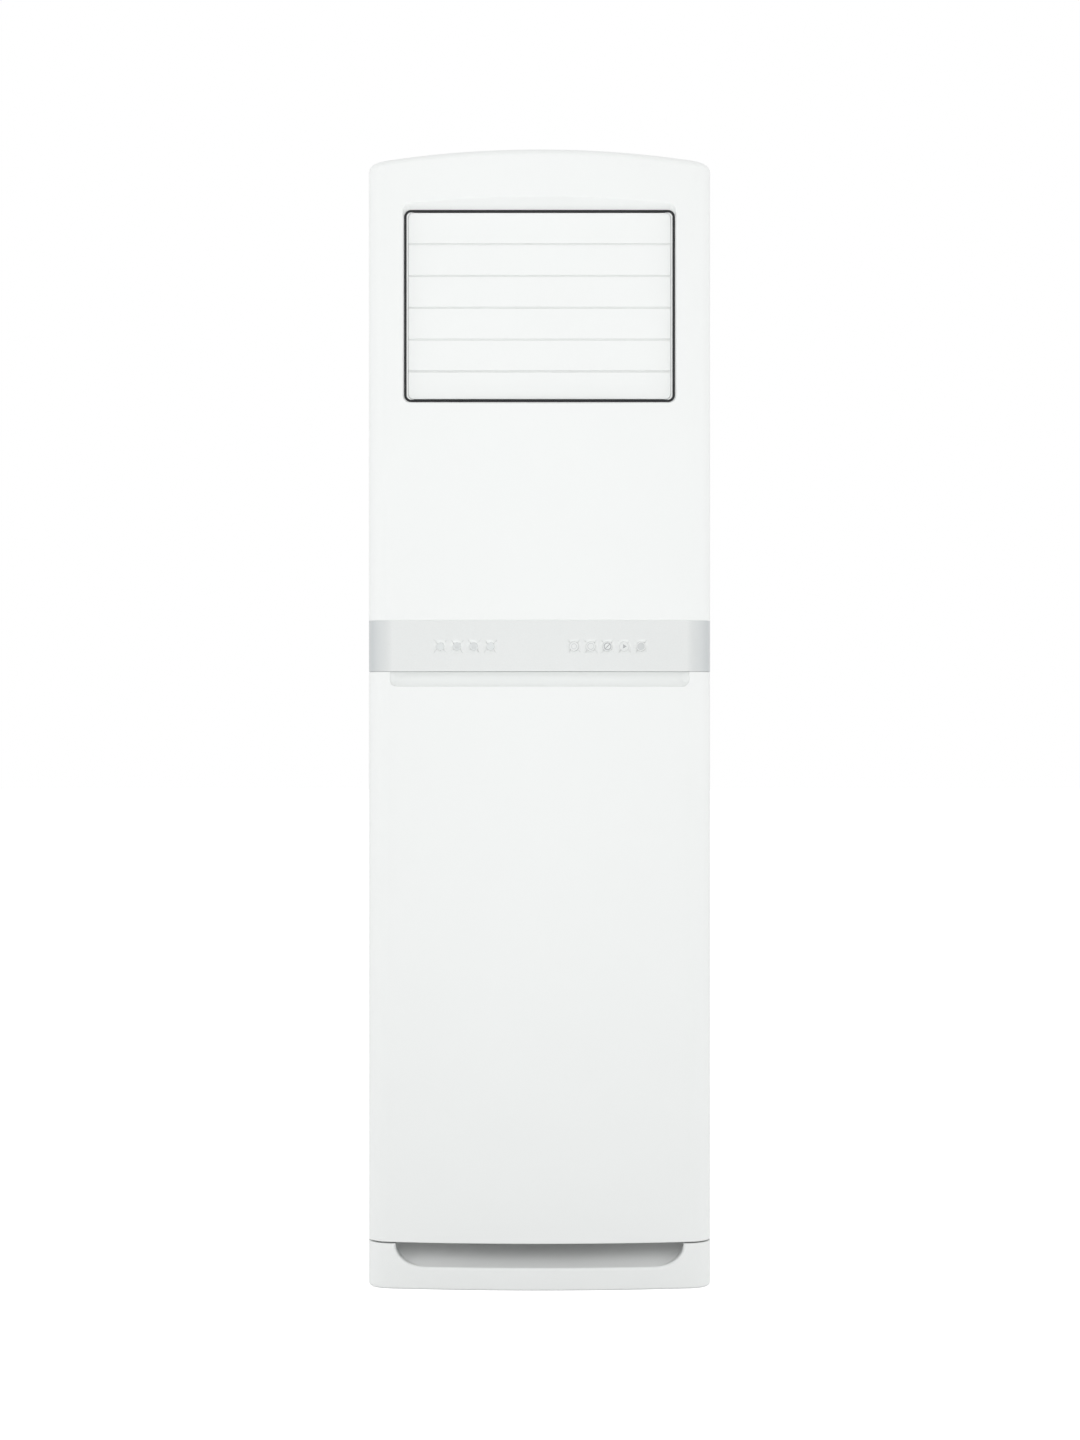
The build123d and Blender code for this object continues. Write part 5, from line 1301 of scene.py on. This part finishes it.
# ---------------------------------------------------------------- keys, lenses and their marks
@dataclass
class Button:
    """One round cap or lens, flush with the bowed band."""

    x: float
    radius: float
    level: float = 0.93375
    sunk: float = 0.0001
    length: float = 0.006
    edge: float = 0.0004
    taper: float = 0.0008

    def turn(self) -> Matrix:
        """Matrix that stands a disc on the bow with its face outwards."""
        angle = asin(self.x / PLAN.bow_radius)
        out = Matrix.Rotation(angle, 4, "Z") @ Matrix.Rotation(pi / 2, 4, "X")
        return Matrix.Translation((self.x, PLAN.bow_y(self.x), self.level)) @ out

    def cap(self) -> bmesh.types.BMesh:
        """Make the cap with a rounded face edge.

        Returns:
            The cap's mesh.
        """
        mesh = bmesh.new()
        middle = Matrix.Translation((0, 0, -self.length / 2 - self.sunk))
        bmesh.ops.create_cone(mesh, cap_ends=True, segments=48, radius1=self.radius - self.taper,
                              radius2=self.radius, depth=self.length, matrix=middle)
        rim = [e for e in mesh.edges if all(v.co.z > -self.sunk - TINY for v in e.verts)]
        rounded(mesh, rim, self.edge, segments=3)
        bmesh.ops.transform(mesh, matrix=self.turn(), verts=mesh.verts)
        bmesh.ops.recalc_face_normals(mesh, faces=mesh.faces)
        return mesh


class Mark(Enum):
    """Generic marks printed on the caps and lenses."""

    DOT = "filled dot"
    RING = "thin ring"
    DOWN = "triangle that points down"
    UP = "triangle that points up"
    BARRED = "ring with a slash"
    LAMP = "filled lamp with two feet"


@dataclass
class PrintedMark:
    """A generic mark, printed a few hundredths of a millimetre thick."""

    button: Button
    mark: Mark
    size: float
    ink: Finish
    thickness: float = 0.00004
    thin_line: float = 0.22
    thick_line: float = 0.25

    def disc(self, mesh: bmesh.types.BMesh, radius: float, segments: int = 32,
             at: tuple[float, float] = (0, 0), angle: float = 0.0) -> None:
        """Add a flat disc or regular shape."""
        turn = Matrix.Translation((at[0], at[1], 0)) @ Matrix.Rotation(angle, 4, "Z")
        bmesh.ops.create_circle(mesh, cap_ends=True, radius=radius, segments=segments, matrix=turn)

    def ring(self, mesh: bmesh.types.BMesh, radius: float, line: float) -> None:
        """Add a flat ring."""
        hoops = []
        for reach in (radius, radius - line):
            made = bmesh.ops.create_circle(mesh, cap_ends=False, radius=reach, segments=40)["verts"]
            hoops += list(dict.fromkeys(e for v in made for e in v.link_edges))
        bmesh.ops.bridge_loops(mesh, edges=hoops)

    def bar(self, mesh: bmesh.types.BMesh, length: float, width: float, angle: float,
            at: tuple[float, float] = (0, 0)) -> None:
        """Add a flat bar."""
        turn = Matrix.Translation((at[0], at[1], 0)) @ Matrix.Rotation(angle, 4, "Z")
        made = bmesh.ops.create_grid(mesh, x_segments=1, y_segments=1, size=0.5)["verts"]
        bmesh.ops.scale(mesh, vec=(length, width, 1), verts=made)
        bmesh.ops.transform(mesh, matrix=turn, verts=made)

    def draw(self, mesh: bmesh.types.BMesh) -> None:
        """Draw the mark flat, its middle at the origin and its lines as parts of its size."""
        size, thin, thick = self.size, self.size * self.thin_line, self.size * self.thick_line
        if self.mark is Mark.DOT:
            self.disc(mesh, size)
        elif self.mark is Mark.RING:
            self.ring(mesh, size, thin)
        elif self.mark is Mark.DOWN:
            self.disc(mesh, size, 3, angle=-pi / 2)
        elif self.mark is Mark.UP:
            self.disc(mesh, size, 3, angle=pi / 2)
        elif self.mark is Mark.BARRED:
            self.ring(mesh, size, thick)
            self.bar(mesh, 1.6 * size, thin, pi / 4)
        else:
            self.disc(mesh, size * 0.9, at=(0, size * 0.2))
            for side in (-1, 1):
                self.bar(mesh, size * 0.9, thick, pi / 2, (side * size * 0.4, -size * 0.7))

    def build(self, name: str, body: str, slot: str) -> bpy.types.Object:
        """Lay the mark on its button.

        Args:
            name: the piece's name.
            body: the body it rides on.
            slot: not used.

        Returns:
            The finished piece.
        """
        mesh = bmesh.new()
        self.draw(mesh)
        bmesh.ops.recalc_face_normals(mesh, faces=mesh.faces)
        for f in list(mesh.faces):
            if f.normal.z < 0:
                f.normal_flip()
        lift = Matrix.Translation((0, 0, self.thickness - self.button.sunk))
        bmesh.ops.transform(mesh, matrix=self.button.turn() @ lift, verts=mesh.verts)
        return DRESSER.piece(mesh, name, self.ink, body)


@dataclass
class Controls:
    """The five keys, the four lenses and the marks on them."""

    band: ControlBand = field(default_factory=ControlBand)

    def build(self) -> None:
        """Build the caps, the lenses and the marks."""
        marks = [(Mark.RING, 0.0042, INK_FAINT), (Mark.RING, 0.0050, INK_FAINT),
                 (Mark.BARRED, 0.0056, INK_LINE), (Mark.DOWN, 0.0036, INK_LINE), (Mark.DOT, 0.0055, INK_DOT)]
        for k, (mark, size, ink) in enumerate(marks):
            button = Button(self.band.key_first + k * self.band.key_pitch, self.band.key_radius)
            body = f"key_{k + 1}_body"
            DRESSER.piece(button.cap(), f"key_cap_{k + 1}", KEY_PAINT, body, (f"key_{k + 1}",))
            PrintedMark(button, mark, size, ink).build(f"key_mark_{k + 1}", body, "key_silver")
        lamps = [(Mark.RING, 0.0042, INK_FAINT), (Mark.LAMP, 0.0046, INK_LAMP), (Mark.LAMP, 0.0046, INK_LAMP),
                 (Mark.RING, 0.0036, INK_FAINT)]
        whole = bmesh.new()
        for k, (mark, size, ink) in enumerate(lamps):
            lens = Button(self.band.lens_first + k * self.band.key_pitch, self.band.lens_radius)
            part = bpy.data.meshes.new("lens")
            cap = lens.cap()
            cap.to_mesh(part)
            cap.free()
            whole.from_mesh(part)
            bpy.data.meshes.remove(part)
            PrintedMark(lens, mark, size, ink).build(f"lens_mark_{k + 1}", "cabinet", "lens")
        DRESSER.piece(whole, "indicator_lens_caps", LENS, "cabinet", ("indicator_lenses",))


# ---------------------------------------------------------------- studio
@dataclass(frozen=True)
class Lamp:
    """One large soft light."""

    name: str
    place: tuple[float, float, float]
    aim: tuple[float, float, float]
    size: float
    watts: float
    spread: float = pi

    def hang(self) -> None:
        """Make the light and turn it to its aim."""
        data = bpy.data.lights.new(self.name, "AREA")
        data.shape, data.size, data.size_y, data.energy = "RECTANGLE", self.size, self.size, self.watts
        data.spread = self.spread
        lamp = bpy.data.objects.new(self.name, data)
        lamp.location = self.place
        lamp.rotation_euler = (Vector(self.aim) - Vector(self.place)).to_track_quat("-Z", "Y").to_euler()
        lamp.visible_glossy = False
        bpy.context.scene.collection.objects.link(lamp)


@dataclass
class Studio:
    """Pale floor, soft light and the camera."""

    camera_place: tuple[float, float, float] = (0.0007, -4.355, 0.827)
    lens: float = 72.5
    front_light: float = 0.52
    side_light: float = 0.92
    world_seen: float = 1.0
    floor_glow: float = 0.6
    floor_half: float = 30.0
    film: float = 36.0
    clip_end: float = 100.0
    front_until: float = -0.9
    sides_from: float = 0.1
    lamps: tuple[Lamp, ...] = (
        Lamp("key_light", (-0.3, -3.5, 2.6), (0, 0, 1.0), 2.2, 19.0),
        Lamp("left_fill", (-3.4, -1.7, 1.7), (0, 0, 1.0), 2.0, 17.0),
        Lamp("right_fill", (3.4, -1.7, 1.7), (0, 0, 1.0), 2.0, 18.0),
        Lamp("brow_light", (0, -2.4, 0.15), (0, 0, 1.65), 0.8, 2.8, radians(90)),
    )

    def camera(self) -> None:
        """Place the camera level, in front of the middle of the case."""
        data = bpy.data.cameras.new("camera")
        data.lens, data.sensor_width, data.clip_end = self.lens, self.film, self.clip_end
        seat = bpy.data.objects.new("camera", data)
        seat.location, seat.rotation_euler = self.camera_place, (pi / 2, 0, 0)
        bpy.context.scene.collection.objects.link(seat)
        bpy.context.scene.camera = seat

    def world(self) -> None:
        """Light everything from a white room that gives less light in front than at the sides and behind."""
        world = bpy.data.worlds.new("studio")
        bpy.context.scene.world = world
        world.use_nodes = True
        tree = world.node_tree
        tree.nodes.clear()
        seen = node(tree, "LightPath").outputs["Is Camera Ray"]
        along = node(tree, "SeparateXYZ", Vector=node(tree, "TexCoord").outputs["Generated"]).outputs["Y"]
        room = node(tree, "MapRange", Value=along, From_Min=self.front_until, From_Max=self.sides_from,
                    To_Min=self.front_light, To_Max=self.side_light)
        strength = node(tree, "MapRange", Value=seen, To_Min=room.outputs["Result"], To_Max=self.world_seen)
        glow = node(tree, "Background", Color=(1, 1, 1, 1), Strength=strength.outputs["Result"])
        node(tree, "OutputWorld", Surface=glow.outputs["Background"])

    def floor(self) -> None:
        """Lay a wide pale floor that looks as white as the room but gives back less light."""
        mesh = bmesh.new()
        bmesh.ops.create_grid(mesh, x_segments=1, y_segments=1, size=self.floor_half)
        data = bpy.data.meshes.new("floor")
        mesh.to_mesh(data)
        mesh.free()
        floor = bpy.data.objects.new("floor", data)
        bpy.context.scene.collection.objects.link(floor)
        pale = PALE_FLOOR.build()
        shader = pale.node_tree.nodes["Principled BSDF"]
        seen = node(pale.node_tree, "LightPath").outputs["Is Camera Ray"]
        glow = node(pale.node_tree, "MapRange", Value=seen, To_Min=0.0, To_Max=self.floor_glow)
        shader.inputs["Emission Color"].default_value = (1, 1, 1, 1)
        pale.node_tree.links.new(glow.outputs["Result"], shader.inputs["Emission Strength"])
        data.materials.append(pale)

    def build(self) -> None:
        """Set up the whole studio."""
        bpy.context.scene.view_settings.view_transform = "Standard"
        self.camera()
        self.world()
        self.floor()
        for lamp in self.lamps:
            lamp.hang()


def main() -> None:
    """Build the studio and the object, piece by piece."""
    logging.basicConfig(level=logging.INFO, format="%(message)s")
    Studio().build()
    for finish, names in CARRIED.items():
        for name in names:
            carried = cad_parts[name]
            carried.data.materials.clear()
            carried.data.materials.append(finish.build())
        log.info("%s: %s", finish.name, ", ".join(names))
    louvers = [Louver(number) for number in range(1, LOUVERS + 1)]
    for part in (UpperFront(), ControlBand(), LowerPanel(), BaseSkirt(), TopCap(), SidePanel(1),
                 SidePanel(-1), OutletTrim(), OutletLip(), *louvers, Controls()):
        part.build()
    bpy.context.view_layer.update()


if __name__ == "__main__":
    main()
